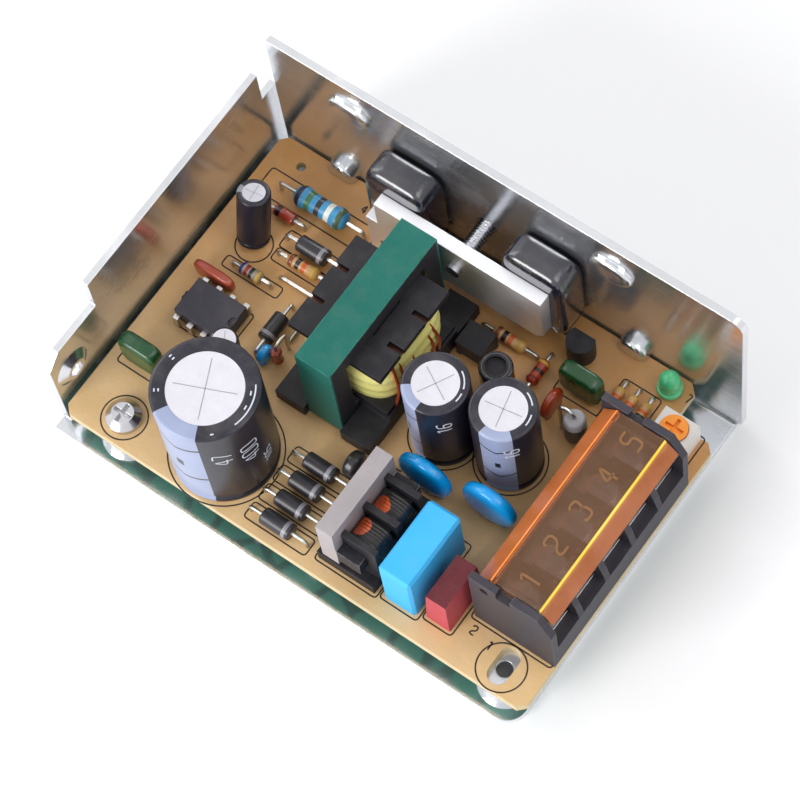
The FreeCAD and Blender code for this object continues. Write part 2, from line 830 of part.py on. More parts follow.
def clamp_bar():
    """Flat bar that presses the power parts to the wall, with a leg down to the board."""
    piece = body("clamp_bar")
    shape = outline(piece, "XZ_Plane", [
        ("0", "0"), ("bar_leg", "0"), ("bar_leg", "bar_bottom"),
        ("bar_length - bar_chamfer", "bar_bottom"), ("bar_length", "bar_bottom + bar_chamfer"),
        ("bar_length", "bar_top"), ("bar_leg", "bar_top"), ("bar_leg", "bar_leg_top"),
        ("0", "bar_leg_top")])
    pad(piece, shape, "bar_thickness")
    rod(piece, ("clamp_screw_across - bar_across", "-bar_thickness", "clamp_screw_up"),
        "tapped", "bar_thickness", cut=True, axis=AXIS_X, turn=-90)
    node(piece, "bar_across", "sleeve_front")


def clamp_screw():
    """Countersunk screw from the back wall's outside into the clamp bar."""
    piece = body("clamp_screw")
    length = "(sheet + sleeve_depth + bar_thickness + screw_spare)"
    turned(piece, [
        ("0", "0"), ("screw_core", "0"), ("screw_core", length + " - (sunk_head - screw_core)"),
        ("sunk_head", length), ("0", length)])
    cross_recess(piece, length)
    node(piece, "clamp_screw_across", "wall_inner + sheet - " + length, "clamp_screw_up",
         axis=AXIS_X, turn=-90)


# sleeved power parts

def sleeve(label, middle_across):
    """Rubber cap over a power part: deep over the package, shallow over its tab, open below."""
    piece = body(label)
    tab_front = "sleeve_depth - sleeve_tab_depth"
    shape = outline(piece, "YZ_Plane", [
        ("0", "sleeve_bottom"), ("sleeve_depth", "sleeve_bottom"), ("sleeve_depth", "sleeve_top"),
        (tab_front, "sleeve_top"), (tab_front, "sleeve_step + sleeve_slope"), ("0", "sleeve_step")])
    pad(piece, shape, "sleeve_width")
    soften(piece, "sleeve_wall", lambda edge: runs(edge, AXIS_Z) and near(middle(edge).y, 0))
    inside = outline(piece, "YZ_Plane", [
        ("sleeve_wall", "sleeve_bottom"), ("sleeve_depth - sleeve_wall", "sleeve_bottom"),
        ("sleeve_depth - sleeve_wall", "sleeve_top - sleeve_wall"),
        (tab_front + " + sleeve_wall", "sleeve_top - sleeve_wall"),
        (tab_front + " + sleeve_wall", "sleeve_step + sleeve_slope - sleeve_wall"),
        ("sleeve_wall", "sleeve_step - sleeve_wall")], lift="sleeve_wall")
    pocket(piece, inside, "sleeve_width - 2 * sleeve_wall", reverse=True)
    node(piece, middle_across + " - sleeve_width / 2", "sleeve_front")


def package(label, middle_across):
    """Power part in its sleeve: a moulded body, a thin tab above it and three legs."""
    piece = body(label)
    back = "(sleeve_depth - sleeve_wall)"
    shape = outline(piece, "YZ_Plane", [
        (back + " - package_depth", "package_foot"), (back, "package_foot"),
        (back, "package_foot + package_height + package_tab_height"),
        (back + " - package_tab", "package_foot + package_height + package_tab_height"),
        (back + " - package_tab", "package_foot + package_height"),
        (back + " - package_depth", "package_foot + package_height")])
    pad(piece, shape, "package_width")
    for step in (-1, 0, 1):
        at = "package_width / 2 - package_leg / 2 + %d * package_leg_spacing" % step
        block(piece, (at, back + " - package_depth / 2", "0"),
              ("package_leg", "package_leg", "package_foot"))
    node(piece, middle_across + " - package_width / 2", "sleeve_front")


# transformer

def core_half(label, upper):
    """One E shaped ferrite half, legs up, or turned over for the upper one."""
    piece = body(label)
    half = "core_height / 2"
    mid = "core_length / 2"
    shape = outline(piece, "YZ_Plane", [
        ("0", "0"), ("core_length", "0"), ("core_length", half),
        ("core_length - core_outer_leg", half), ("core_length - core_outer_leg", "core_yoke"),
        (mid + " + core_middle_leg / 2", "core_yoke"), (mid + " + core_middle_leg / 2", half),
        (mid + " - core_middle_leg / 2", half), (mid + " - core_middle_leg / 2", "core_yoke"),
        ("core_outer_leg", "core_yoke"), ("core_outer_leg", half), ("0", half)])
    pad(piece, shape, "core_thickness")
    across = "core_across - core_thickness / 2"
    if upper:
        node(piece, across, "core_along + core_length / 2", "core_top", axis=AXIS_X, turn=180)
    else:
        node(piece, across, "core_along - core_length / 2", "core_foot")


def transformer_tape():
    """Band of tape round the ferrite halves' outside."""
    piece = body("transformer_tape")
    block(piece, ("0", "-tape", "-tape"),
          ("core_thickness", "core_length + 2 * tape", "core_height + 2 * tape"))
    block(piece, ("0", "0", "0"), ("core_thickness", "core_length", "core_height"), cut=True)
    node(piece, "core_across - core_thickness / 2", "core_along - core_length / 2", "core_foot")


def transformer_bobbin():
    """Moulded bobbin: tube round the middle leg, two flanges and two pin rails."""
    piece = body("transformer_bobbin")
    block(piece, ("-tube_length / 2", "-tube_width / 2", "flange_low"),
          ("tube_length", "tube_width", "flange_high - flange_low"))
    for low in ("flange_low", "flange_high"):
        block(piece, ("-flange_length / 2", "-flange_width / 2", low),
              ("flange_length", "flange_width", "flange"))
    rail = "(rail_outer / 2 - core_thickness / 2 - bobbin_gap)"
    for start in ("-rail_outer / 2", "core_thickness / 2 + bobbin_gap"):
        block(piece, (start, "-rail_length / 2", "pin_standoff"), (rail, "rail_length", "rail_height"))
        block(piece, (start, "-flange_width / 2", "pin_standoff"),
              (rail, "flange_width", "flange_low - pin_standoff"))
    hole_length = "core_thickness + 2 * bobbin_gap"
    hole_width = "core_middle_leg + 2 * bobbin_gap"
    block(piece, ("-core_thickness / 2 - bobbin_gap", "-core_middle_leg / 2 - bobbin_gap", "0"),
          (hole_length, hole_width, "flange_high + 2 * flange"), cut=True)
    for side in (1, -1):
        for step in (1, -1):
            along = "%d * flange_slot_spacing / 2 - flange_slot / 2" % step
            start = "flange_length / 2 - flange_slot_depth" if side > 0 else "-flange_length / 2"
            block(piece, (start, along, "flange_high"),
                  ("flange_slot_depth", "flange_slot", "flange"), cut=True)
    node(piece, "core_across", "core_along")


def transformer_winding():
    """Taped winding, round cornered, between the flanges."""
    piece = body("transformer_winding")
    rise = "flange_high - flange_low - flange"
    block(piece, ("-winding_length / 2", "-winding_width / 2", "flange_low + flange"),
          ("winding_length", "winding_width", rise))
    soften(piece, "winding_corner", lambda edge: runs(edge, AXIS_Z))
    block(piece, ("-tube_length / 2", "-tube_width / 2", "flange_low + flange"),
          ("tube_length", "tube_width", rise), cut=True)
    node(piece, "core_across", "core_along")


def transformer_pins():
    """Two rows of pins under the bobbin's rails."""
    pins = []
    row = "(rail_outer / 2 + core_thickness / 2 + bobbin_gap) / 2"
    for side in (-1, 1):
        for step in (-1.5, -0.5, 0.5, 1.5):
            pin = doc.addObject("Part::Prism", "pin")
            pin.Polygon = 6
            pin.setExpression("Circumradius", ex("pin"))
            pin.setExpression("Height", ex("pin_standoff"))
            across = "board_left + core_across + %d * %s" % (side, row)
            along = "board_front + core_along + %s * pin_spacing" % step
            move(pin, "Placement", (across, along, "board_top"))
            pins.append(pin)
    group("transformer_pins", pins)


# electrolytic capacitors and the output inductor

def can(label, radius, height, disc, at, lean=None, leads=False):
    """Sleeved aluminium can with a crimp above its foot and a bare disc sunk in its top."""
    piece = body(label)
    low = "crimp_height"
    turned(piece, [
        ("0", "0"), (radius, "0"), (radius, low), (radius + " - crimp_depth", low + " + crimp_depth"),
        (radius, low + " + 2 * crimp_depth"), (radius, height + " - can_edge"),
        (radius + " - can_edge", height), (disc, height), (disc, height + " - vent_recess"),
        ("0", height + " - vent_recess")])
    if leads:
        for side in ("-", ""):
            foot_lead(piece, side + radius + " / 2", "0", "small_can_lead", "-small_can_lead")
    across, along = at
    up = "small_can_lead + lead_clearance" if leads else "0"
    if lean:
        node(piece, across, along, up, axis=AXIS_X, turn=-SIZES[lean])
    else:
        node(piece, across, along, up)


def drum_inductor():
    """Ferrite spool with a hollow top, its winding and the shrunk sleeve round both."""
    spool = body("output_choke_core")
    turned(spool, [
        ("0", "0"), ("drum_radius", "0"), ("drum_radius", "drum_rim"), ("drum_waist", "drum_rim"),
        ("drum_waist", "drum_height - drum_rim"), ("drum_radius", "drum_height - drum_rim"),
        ("drum_radius", "drum_height"), ("drum_cup", "drum_height"),
        ("drum_cup", "drum_height - drum_cup_depth"), ("0", "drum_height - drum_cup_depth")])
    node(spool, "drum_across", "drum_along")
    winding = body("output_choke_winding")
    turned(winding, [
        ("drum_waist", "drum_rim"), ("drum_radius", "drum_rim"),
        ("drum_radius", "drum_height - drum_rim"), ("drum_waist", "drum_height - drum_rim")])
    node(winding, "drum_across", "drum_along")
    cover = body("output_choke_sleeve")
    inner = "drum_radius + drum_sleeve_gap"
    turned(cover, [
        (inner, "0"), (inner + " + drum_sleeve_wall", "0"),
        (inner + " + drum_sleeve_wall", "drum_height"), (inner, "drum_height")])
    node(cover, "drum_across", "drum_along")


# chips

def controller_chip():
    """Eight leg chip with a half round notch in its end, and its legs as one group."""
    piece = body("controller_chip")
    block(piece, ("-chip_length / 2", "-chip_width / 2", "chip_standoff"),
          ("chip_length", "chip_width", "chip_height"))
    rod(piece, ("chip_length / 2", "0", "chip_standoff + chip_height - chip_leg_thick"),
        "chip_notch", "chip_leg_thick", cut=True)
    node(piece, "chip_across", "chip_along")
    legs = []
    for side in (1, -1):
        for step in (-1.5, -0.5, 0.5, 1.5):
            legs.append(chip_leg(side, step))
    group("controller_chip_legs", legs)


def chip_leg(side, step):
    """One leg: a short shelf out of the chip's side and a tapered blade down to the board."""
    leg = body("chip_leg")
    shelf = "chip_standoff + chip_height / 2"
    shape = outline(leg, "YZ_Plane", [
        ("0", shelf), ("chip_leg_reach - chip_leg_thick", shelf), ("chip_leg_reach - chip_leg_thick", "0"),
        ("chip_leg_reach", "0"), ("chip_leg_reach", shelf + " + chip_leg_thick"),
        ("0", shelf + " + chip_leg_thick")])
    pad(leg, shape, "chip_leg_width")
    turn = 0 if side > 0 else 180
    leg.Placement.Rotation = FreeCAD.Rotation(AXIS_Z, turn)
    across = "board_left + chip_across + %s * chip_leg_spacing - %d * chip_leg_width / 2" % (step, side)
    along = "board_front + chip_along + %d * chip_width / 2" % side
    move(leg, "Placement", (across, along, "board_top"))
    return leg


def optocoupler():
    """Small coupler block on four short legs."""
    piece = body("optocoupler")
    block(piece, ("0", "0", "coupler_standoff"), ("coupler_length", "coupler_width", "coupler_height"))
    for across in ("0", "coupler_length - package_leg"):
        for along in ("0", "coupler_width - package_leg"):
            block(piece, (across, along, "0"), ("package_leg", "package_leg", "coupler_standoff"))
    node(piece, "coupler_across", "coupler_along")


# axial parts

def wire_outline(piece):
    """Six sided section of a lead round the sub-part's own origin, near enough to round wire."""
    turns = [math.radians(60 * i) for i in range(6)]
    return outline(piece, "XY_Plane", [
        ("lead * %.4f" % math.cos(turn), "lead * %.4f" % math.sin(turn)) for turn in turns])


def foot_lead(piece, across, along, height, start="0"):
    """One straight lead under a standing part."""
    return solid(piece, "AdditivePrism", (across, along, start), Circumradius="lead", Height=height)


def axial(label, span, up, barrel):
    """Lead bent down at both ends, with a barrel of (distance from the middle, radius) corners."""
    piece = body(label)
    ring = wire_outline(piece)
    route = piece.newObject("Sketcher::SketchObject", "Route")
    route.AttachmentSupport = [(plane_of(piece, "XZ_Plane"), "")]
    route.MapMode = "FlatFace"
    hold_corners(route, [("0", "0"), ("0", up), (span, up), (span, "0")], closed=False)
    bent = piece.newObject("PartDesign::AdditivePipe", "Lead")
    bent.Profile = ring
    bent.Spine = route
    bent.Transition = "Right corner"
    if barrel:
        corners = [(span + " / 2 + " + place, radius) for place, radius in barrel]
        turned(piece, corners, about="H_Axis", drop=up)
    return piece


def plain_barrel(length, radius):
    """Corners of a straight barrel."""
    half = "(%s) / 2" % length
    return [("-" + half, "0"), ("-" + half, radius), (half, radius), (half, "0")]


def capped_barrel(length, radius):
    """Corners of a resistor's barrel, thicker over its end caps."""
    half = "(%s) / 2" % length
    waist = radius + " - rib"
    return [
        ("-" + half, "0"), ("-" + half, radius), ("-%s + end_cap" % half, radius),
        ("-%s + end_cap + rib" % half, waist), (half + " - end_cap - rib", waist),
        (half + " - end_cap", radius), (half, radius), (half, "0")]


def axial_parts():
    """The single diodes, resistors and jumpers that lie on the board."""
    node(axial("snubber_resistor", "big_resistor_span", "big_resistor_up",
               capped_barrel("big_resistor_length", "big_resistor_radius")),
         "big_resistor_across", "big_resistor_along")
    node(axial("glass_diode", "glass_span", "glass_up", plain_barrel("glass_length", "glass_radius")),
         "glass_across", "glass_along")
    node(axial("snubber_diode", "snubber_span", "diode_up + snubber_lift",
               plain_barrel("diode_length", "diode_radius")), "snubber_across", "snubber_along")
    node(axial("startup_resistor", "startup_span", "resistor_up",
               plain_barrel("resistor_length", "resistor_radius")), "startup_across", "startup_along")
    node(axial("bobbin_diode", "bobbin_diode_span", "diode_up",
               plain_barrel("bobbin_diode_length", "bobbin_diode_radius")),
         "bobbin_diode_across", "bobbin_diode_along", turn=90)
    node(axial("sense_resistor", "sense_span", "resistor_up",
               plain_barrel("sense_length", "resistor_radius")), "sense_across", "sense_along")
    node(axial("bleed_resistor", "bleed_span", "resistor_up",
               plain_barrel("resistor_length", "resistor_radius")), "bleed_across", "bleed_along")
    node(axial("damping_resistor", "damping_span", "resistor_up",
               plain_barrel("damping_length", "resistor_radius")),
         "damping_across", "damping_along", turn=90)


def repeated_axials():
    """The four bridge diodes, the three feedback resistors and the jumpers, each set as one group."""
    bridge = []
    for i in range(4):
        piece = axial("bridge_diode", "bridge_span", "diode_up",
                      plain_barrel("diode_length", "diode_radius"))
        along = "board_front + bridge_along + %d * bridge_spacing" % i
        move(piece, "Placement", ("board_left + bridge_across", along, "board_top"))
        bridge.append(piece)
    group("bridge_diodes", bridge)
    row = []
    for i in range(3):
        piece = axial("feedback_resistor", "feedback_span", "feedback_radius + 0.2",
                      plain_barrel("feedback_length", "feedback_radius"))
        piece.Placement.Rotation = FreeCAD.Rotation(AXIS_Z, 90)
        across = "board_left + feedback_across + %d * feedback_spacing" % i
        move(piece, "Placement", (across, "board_front + feedback_along", "board_top"))
        row.append(piece)
    group("feedback_resistors", row)
    wires = []
    for name, turn in (("jumper", 0), ("short_jumper", 90)):
        wire = axial(name, name + "_span", "jumper_up", None)
        wire.Placement.Rotation = FreeCAD.Rotation(AXIS_Z, turn)
        spot = ("board_left + %s_across" % name, "board_front + %s_along" % name, "board_top")
        move(wire, "Placement", spot)
        wires.append(wire)
    group("jumper_wires", wires)


def upright(label, radius, length, at, turn):
    """Barrel standing on one lead, the other bent over like a hairpin and down beside it."""
    piece = body(label)
    turned(piece, [("0", "upright_foot"), (radius, "upright_foot"),
                   (radius, "upright_foot + " + length), ("0", "upright_foot + " + length)])
    foot_lead(piece, "0", "0", "upright_foot")
    top = "upright_foot + %s + upright_hairpin" % length
    foot_lead(piece, "0", "0", "upright_hairpin", "upright_foot + " + length)
    block(piece, ("-lead", "-lead", top + " - lead"), ("upright_reach + 2 * lead", "2 * lead", "2 * lead"))
    foot_lead(piece, "upright_reach", "0", top)
    node(piece, at[0], at[1], axis=AXIS_Z, turn=turn)


# choke

def choke():
    """Common mode choke: ferrite plate with a leg through a three flange bobbin and two windings."""
    core_along = "choke_along + choke_core_inset"
    core = body("choke_core")
    block(core, ("choke_bar_inset", "0", "choke_bar_bottom"),
          ("choke_bar", "choke_core_length", "choke_bar_top - choke_bar_bottom"))
    reach = "choke_leg_gap + choke_leg"
    for along in ("0", "choke_core_length - choke_yoke"):
        block(core, ("choke_bar_inset + choke_bar", along, "choke_leg_up"),
              (reach, "choke_yoke", "choke_leg_height"))
    block(core, ("choke_leg_start", "choke_yoke", "choke_leg_up"),
          ("choke_leg", "choke_core_length - 2 * choke_yoke", "choke_leg_height"))
    node(core, "choke_across", core_along)
    choke_bobbin(core_along)
    choke_windings(core_along)


def choke_bobbin(core_along):
    """Base plate, tube round the leg and three flanges."""
    piece = body("choke_bobbin")
    tube = "(choke_fit + choke_tube_wall)"
    room = "(choke_core_length - 2 * (choke_yoke + choke_fit))"
    start = "choke_yoke + choke_fit"
    left = "choke_bar_inset + choke_bar + choke_fit"
    block(piece, ("0", "-choke_core_inset", "0"),
          ("choke_base_length", "choke_base_width", "choke_base_height"))
    block(piece, ("choke_leg_start - " + tube, start, "choke_leg_up - " + tube),
          ("choke_leg + 2 * " + tube, room, "choke_leg_height + 2 * " + tube))
    for share in ("0", "0.5", "1"):
        along = "%s + %s * (%s - choke_flange)" % (start, share, room)
        block(piece, (left, along, "choke_base_height"),
              ("choke_base_length - choke_bar_inset - choke_bar - choke_fit", "choke_flange",
               "choke_flange_top - choke_base_height"))
    block(piece, ("choke_leg_start - choke_fit", start, "choke_leg_up - choke_fit"),
          ("choke_leg + 2 * choke_fit", room, "choke_leg_height + 2 * choke_fit"), cut=True)
    node(piece, "choke_across", core_along)


def choke_windings(core_along):
    """Two round cornered coils on the tube, one each side of the middle flange."""
    coils = []
    tube = "(choke_fit + choke_tube_wall)"
    room = "(choke_core_length - 2 * (choke_yoke + choke_fit))"
    start = "choke_yoke + choke_fit"
    width = "((%s - 3 * choke_flange) / 2)" % room
    deep = "choke_winding_depth"
    for i in range(2):
        coil = body("choke_coil")
        along = "%s + choke_flange + %d * (%s + choke_flange)" % (start, i, width)
        corner = "choke_leg_start - %s - %s" % (tube, deep)
        low = "choke_leg_up - %s - %s" % (tube, deep)
        block(coil, (corner, along, low),
              ("choke_leg + 2 * (%s + %s)" % (tube, deep), width,
               "choke_leg_height + 2 * (%s + %s)" % (tube, deep)))
        soften(coil, "choke_winding_corner", lambda edge: runs(edge, AXIS_Y))
        block(coil, ("choke_leg_start - " + tube, along, "choke_leg_up - " + tube),
              ("choke_leg + 2 * " + tube, width, "choke_leg_height + 2 * " + tube), cut=True)
        move(coil, "Placement", ("board_left + choke_across", "board_front + " + core_along, "board_top"))
        coils.append(coil)
    group("choke_windings", coils)


# capacitors of other kinds, fuse and thermistor

def x_capacitor():
    """Boxed mains capacitor."""
    piece = body("x_capacitor")
    block(piece, ("0", "0", "0"), ("xcap_length", "xcap_width", "xcap_height"))
    soften(piece, "xcap_corner", lambda edge: middle(edge).z > 0.1, kind="Chamfer", size="Size")
    node(piece, "xcap_across", "xcap_along")


def fuse():
    """Boxed fuse, slightly narrower at its top."""
    piece = body("fuse")
    foot = outline(piece, "XY_Plane", [
        ("0", "0"), ("fuse_length", "0"), ("fuse_length", "fuse_width"), ("0", "fuse_width")])
    top = outline(piece, "XY_Plane", [
        ("fuse_taper", "fuse_taper"), ("fuse_length - fuse_taper", "fuse_taper"),
        ("fuse_length - fuse_taper", "fuse_width - fuse_taper"), ("fuse_taper", "fuse_width - fuse_taper")],
        lift="fuse_height")
    loft = piece.newObject("PartDesign::AdditiveLoft", "Loft")
    loft.Profile = foot
    loft.Sections = [top]
    loft.Ruled = True
    node(piece, "fuse_across", "fuse_along")


def disc(label, radius, thickness, up, spread, at=None, turn=0):
    """Dipped disc on edge, lens shaped, on two leads, turned about the upright axis where seated."""
    piece = body(label)
    half = thickness + " / 2"
    face = radius + " * disc_face_share"
    sketch = outline(piece, "XY_Plane", [
        ("0", half), (face, half), (radius, "0"), (face, "-" + half), ("0", "-" + half)], lift=up)
    spin = piece.newObject("PartDesign::Revolution", "Revolution")
    spin.Profile = sketch
    spin.ReferenceAxis = (sketch, ["V_Axis"])
    spin.Angle = 360.0
    for side in ("-", ""):
        foot_lead(piece, side + spread, "0", up)
    return node(piece, at[0], at[1], axis=AXIS_Z, turn=turn) if at else piece


def dipped_block(label, at, size, corner, standoff):
    """Dipped capacitor: a round edged block on two leads."""
    piece = body(label)
    length, width, height = size
    block(piece, ("0", "0", standoff), (length, width, height))
    soften(piece, corner, lambda edge: runs(edge, AXIS_Z)
           or middle(edge).z > piece.Tip.Shape.BoundBox.Center.z, kind="Chamfer", size="Size")
    for place in (length + " * 0.2", length + " * 0.8"):
        foot_lead(piece, place, width + " / 2", standoff)
    node(piece, at[0], at[1])


def standing_parts():
    """Discs, films and dipped capacitors."""
    pair = []
    for side in ("ycap_left", "ycap_right"):
        piece = disc("y_capacitor", "ycap_radius", "ycap_thickness", "ycap_up", "ycap_lead_spread")
        spot = ("board_left + %s_across" % side, "board_front + %s_along" % side, "board_top")
        move(piece, "Placement", spot)
        pair.append(piece)
    group("y_capacitors", pair)
    disc("ceramic_capacitor", "ceramic_radius", "drop_thickness", "ceramic_up", "drop_lead_spread",
         ("ceramic_across", "ceramic_along"), 90)
    disc("small_disc_capacitor", "small_drop_radius", "drop_thickness", "small_drop_up",
         "small_drop_lead_spread", ("small_drop_across", "small_drop_along"), 90)
    disc("thermistor", "thermistor_radius", "thermistor_thickness", "thermistor_up", "drop_lead_spread",
         ("thermistor_across", "thermistor_along"), 90)
    film = ("film_length", "film_width", "film_height")
    dipped_block("film_capacitor_front", ("film_front_across", "film_front_along"), film,
                 "film_corner", "film_standoff")
    dipped_block("film_capacitor_rear", ("film_rear_across", "film_rear_along"), film,
                 "film_corner", "film_standoff")
    dipped_block("dipped_capacitor",
                 ("dipped_across - dipped_length / 2", "dipped_along - dipped_width / 2"),
                 ("dipped_length", "dipped_width", "dipped_height"), "dipped_corner", "film_standoff")


# small signal parts

def reference_transistor():
    """Round moulding with a flat face, on three legs."""
    piece = body("reference_transistor")
    rod(piece, ("0", "0", "reference_bottom"), "reference_radius", "reference_height")
    block(piece, ("-reference_radius", "reference_flat", "reference_bottom"),
          ("2 * reference_radius", "reference_radius", "reference_height"), cut=True)
    for step in (-1, 0, 1):
        foot_lead(piece, "%d * drop_lead_spread" % step, "0", "reference_bottom")
    node(piece, "reference_across", "reference_along")


def indicator_led():
    """Round indicator lamp with a rim, a dome and two feet."""
    piece = body("indicator_led")
    dome = "led_height - led_radius"
    turned(piece, [
        ("0", "led_foot"), ("led_flange", "led_foot"), ("led_flange", "led_foot + led_flange_height"),
        ("led_radius", "led_foot + led_flange_height"), ("led_radius", dome),
        ("led_radius * 0.866", dome + " + led_radius * 0.5"),
        ("led_radius * 0.5", dome + " + led_radius * 0.866"), ("0", "led_height")])
    for side in ("-", ""):
        foot_lead(piece, side + "drop_lead_spread", "0", "led_foot")
    node(piece, "led_across", "led_along")


def trimmer():
    """Trimmer: a square case with a round seat, and the slotted rotor that turns in it."""
    case = body("trimmer_body")
    mid = ("trimmer_length / 2", "trimmer_width / 2")
    block(case, ("0", "0", "0"), ("trimmer_length", "trimmer_width", "trimmer_height"))
    rod(case, mid + ("trimmer_height - rotor_depth",), "rotor_radius + rotor_gap", "rotor_depth", cut=True)
    rod(case, mid + ("trimmer_height - rotor_depth - rotor_shaft_length",),
        "rotor_shaft + rotor_gap", "rotor_shaft_length", cut=True)
    node(case, "trimmer_across", "trimmer_along")
    rotor = body("trimmer_rotor")
    foot = "rotor_shaft_length - rotor_gap"
    top = foot + " + rotor_depth + rotor_stand"
    turned(rotor, [
        ("0", "0"), ("rotor_shaft", "0"), ("rotor_shaft", foot), ("rotor_radius", foot),
        ("rotor_radius", top), ("0", top)])
    for length, width in (("rotor_slot_length", "rotor_slot"), ("rotor_slot", "rotor_slot_length")):
        block(rotor, ("-%s / 2" % length, "-%s / 2" % width, top + " - rotor_slot"),
              (length, width, "rotor_slot"), cut=True)
    node(rotor, "trimmer_across + trimmer_length / 2", "trimmer_along + trimmer_width / 2",
         "trimmer_height - rotor_depth - rotor_shaft_length + rotor_gap")


# wire terminals

def terminal_housing():
    """Moulded strip: floor, inner wall, two end walls with pin holes, and fins between the ways."""
    piece = body("terminal_housing")
    block(piece, ("0", "0", "0"), ("terminal_length", "terminal_width", "terminal_floor"))
    block(piece, ("0", "0", "0"), ("terminal_back_wall", "terminal_width", "terminal_back_height"))
    for k in range(4):
        step = "(%d + 0.5) * terminal_spacing" % k
        terminal_fin(piece, "terminal_first_along - terminal_along + " + step + " - terminal_fin / 2")
    for along in ("terminal_end_wall", "terminal_width"):
        end_wall(piece, along)
    for along in ("0", "terminal_width - terminal_end_wall"):
        rod(piece, ("hinge_in", along, "hinge_up"), "hinge_pin + hinge_gap", "terminal_end_wall",
            cut=True, axis=AXIS_X, turn=-90)
    for k in range(5):
        along = "terminal_first_along - terminal_along + %d * terminal_spacing" % k
        screw_seat(piece, ("terminal_screw_in", along, "terminal_floor - terminal_screw_length"),
                   "terminal_screw_length")
    node(piece, "terminal_across", "terminal_along")


def screw_seat(piece, at, height):
    """Six sided hole that a terminal screw's shank has its running room in."""
    solid(piece, "SubtractivePrism", at, Circumradius="tapped + thread_gap", Height=height)


def terminal_fin(piece, along):
    """One fin: low under the cover's hinge side, high over the way, curving down to the outer face."""
    reach = "terminal_fin_reach"
    length = "terminal_length"
    shape = outline(piece, "XZ_Plane", [
        ("0", "0"), (length, "0"), (length, "terminal_floor"),
        (length + " - 0.35 * (terminal_length - terminal_fin_reach)",
         "terminal_floor + 0.4 * (terminal_fin_top - terminal_floor)"),
        (reach, "terminal_floor + 0.85 * (terminal_fin_top - terminal_floor)"),
        (reach + " - 1.2", "terminal_fin_top"), ("terminal_fin_start", "terminal_fin_top"),
        ("terminal_fin_start", "terminal_back_height"), ("0", "terminal_back_height")],
        lift="-(%s + terminal_fin)" % along)
    pad(piece, shape, "terminal_fin")


def end_wall(piece, along):
    """One end wall, notched in its top and stepped down at the outer corner."""
    length = "terminal_length"
    top = "terminal_end_height"
    shape = outline(piece, "XZ_Plane", [
        ("0", "0"), (length, "0"), (length, top + " - terminal_step_drop"),
        (length + " - terminal_step", top), ("terminal_notch_start + terminal_notch", top),
        ("terminal_notch_start + terminal_notch", top + " - terminal_notch_depth"),
        ("terminal_notch_start", top + " - terminal_notch_depth"), ("terminal_notch_start", top),
        ("0", top)], lift="-(%s)" % along)
    pad(piece, shape, "terminal_end_wall")


def terminal_metal():
    """The five contact plates, clamp washers and screws, each kind as one group."""
    plates = []
    washers = []
    screws = []
    for k in range(5):
        across = "board_left + terminal_across + "
        along = "board_front + terminal_first_along + %d * terminal_spacing" % k
        floor = "board_top + terminal_floor"
        plate = body("terminal_plate")
        block(plate, ("0", "-plate_width / 2", "0"),
              ("plate_end - plate_start", "plate_width", "plate_thickness"))
        screw_seat(plate, ("terminal_screw_in - plate_start", "0", "0"), "plate_thickness")
        move(plate, "Placement", (across + "plate_start", along, floor))
        plates.append(plate)
        washer = body("clamp_washer")
        block(washer, ("-contact_depth / 2", "-contact_width / 2", "0"),
              ("contact_depth", "contact_width", "contact_washer"))
        screw_seat(washer, ("0", "0", "0"), "contact_washer")
        move(washer, "Placement", (across + "terminal_screw_in", along, floor + " + plate_thickness"))
        washers.append(washer)
        screws.append(terminal_screw(across + "terminal_screw_in", along, floor))
    group("terminal_plates", plates)
    group("terminal_contacts", washers)
    group("terminal_screws", screws)


def terminal_screw(across, along, floor):
    """One terminal screw, down through the washer and plate into the moulding."""
    piece = body("terminal_screw")
    shank = "(terminal_screw_length + plate_thickness + contact_washer - thread_gap)"
    top = shank + " + terminal_screw_head_height"
    rod(piece, ("0", "0", shank), "terminal_screw_head", "terminal_screw_head_height")
    solid(piece, "AdditivePrism", ("0", "0", "0"), Circumradius="screw_core", Height=shank)
    cross_recess(piece, top)
    move(piece, "Placement", (across, along, floor + " - terminal_screw_length + thread_gap"))
    return piece


def terminal_cover():
    """Clear cover: a hat section along the strip, closed at its ends, on two hinge pins."""
    piece = body("terminal_cover")
    inside = "(terminal_width - 2 * (terminal_end_wall + cover_play))"
    outer = [
        ("-cover_behind", "-cover_skirt"), ("cover_slope - cover_behind", "cover_crown"),
        ("cover_slope - cover_behind + cover_ridge", "cover_crown + cover_ridge"),
        ("cover_slope - cover_behind + 2 * cover_ridge", "cover_crown"),
        ("cover_ahead - cover_slope - 2 * cover_ridge", "cover_crown"),
        ("cover_ahead - cover_slope - cover_ridge", "cover_crown + cover_ridge"),
        ("cover_ahead - cover_slope", "cover_crown"), ("cover_ahead", "-cover_skirt")]
    pad(piece, outline(piece, "XZ_Plane", outer), inside, reverse=True)
    hollow = [
        ("cover_wall - cover_behind", "-cover_skirt"),
        ("cover_wall * 0.75 + cover_slope - cover_behind", "cover_crown - cover_wall"),
        ("cover_ahead - cover_slope - cover_wall * 0.75", "cover_crown - cover_wall"),
        ("cover_ahead - cover_wall", "-cover_skirt")]
    cavity = outline(piece, "XZ_Plane", hollow, lift="-(%s - cover_end_inset)" % inside)
    pocket(piece, cavity, inside + " - 2 * cover_end_inset", reverse=True)
    rod(piece, ("0", "-(terminal_end_wall - cover_play)", "0"), "hinge_pin",
        "terminal_width - 2 * cover_play - terminal_end_wall + cover_play", axis=AXIS_X, turn=-90)
    node(piece, "terminal_across + hinge_in", "terminal_along + terminal_end_wall + cover_play", "hinge_up")


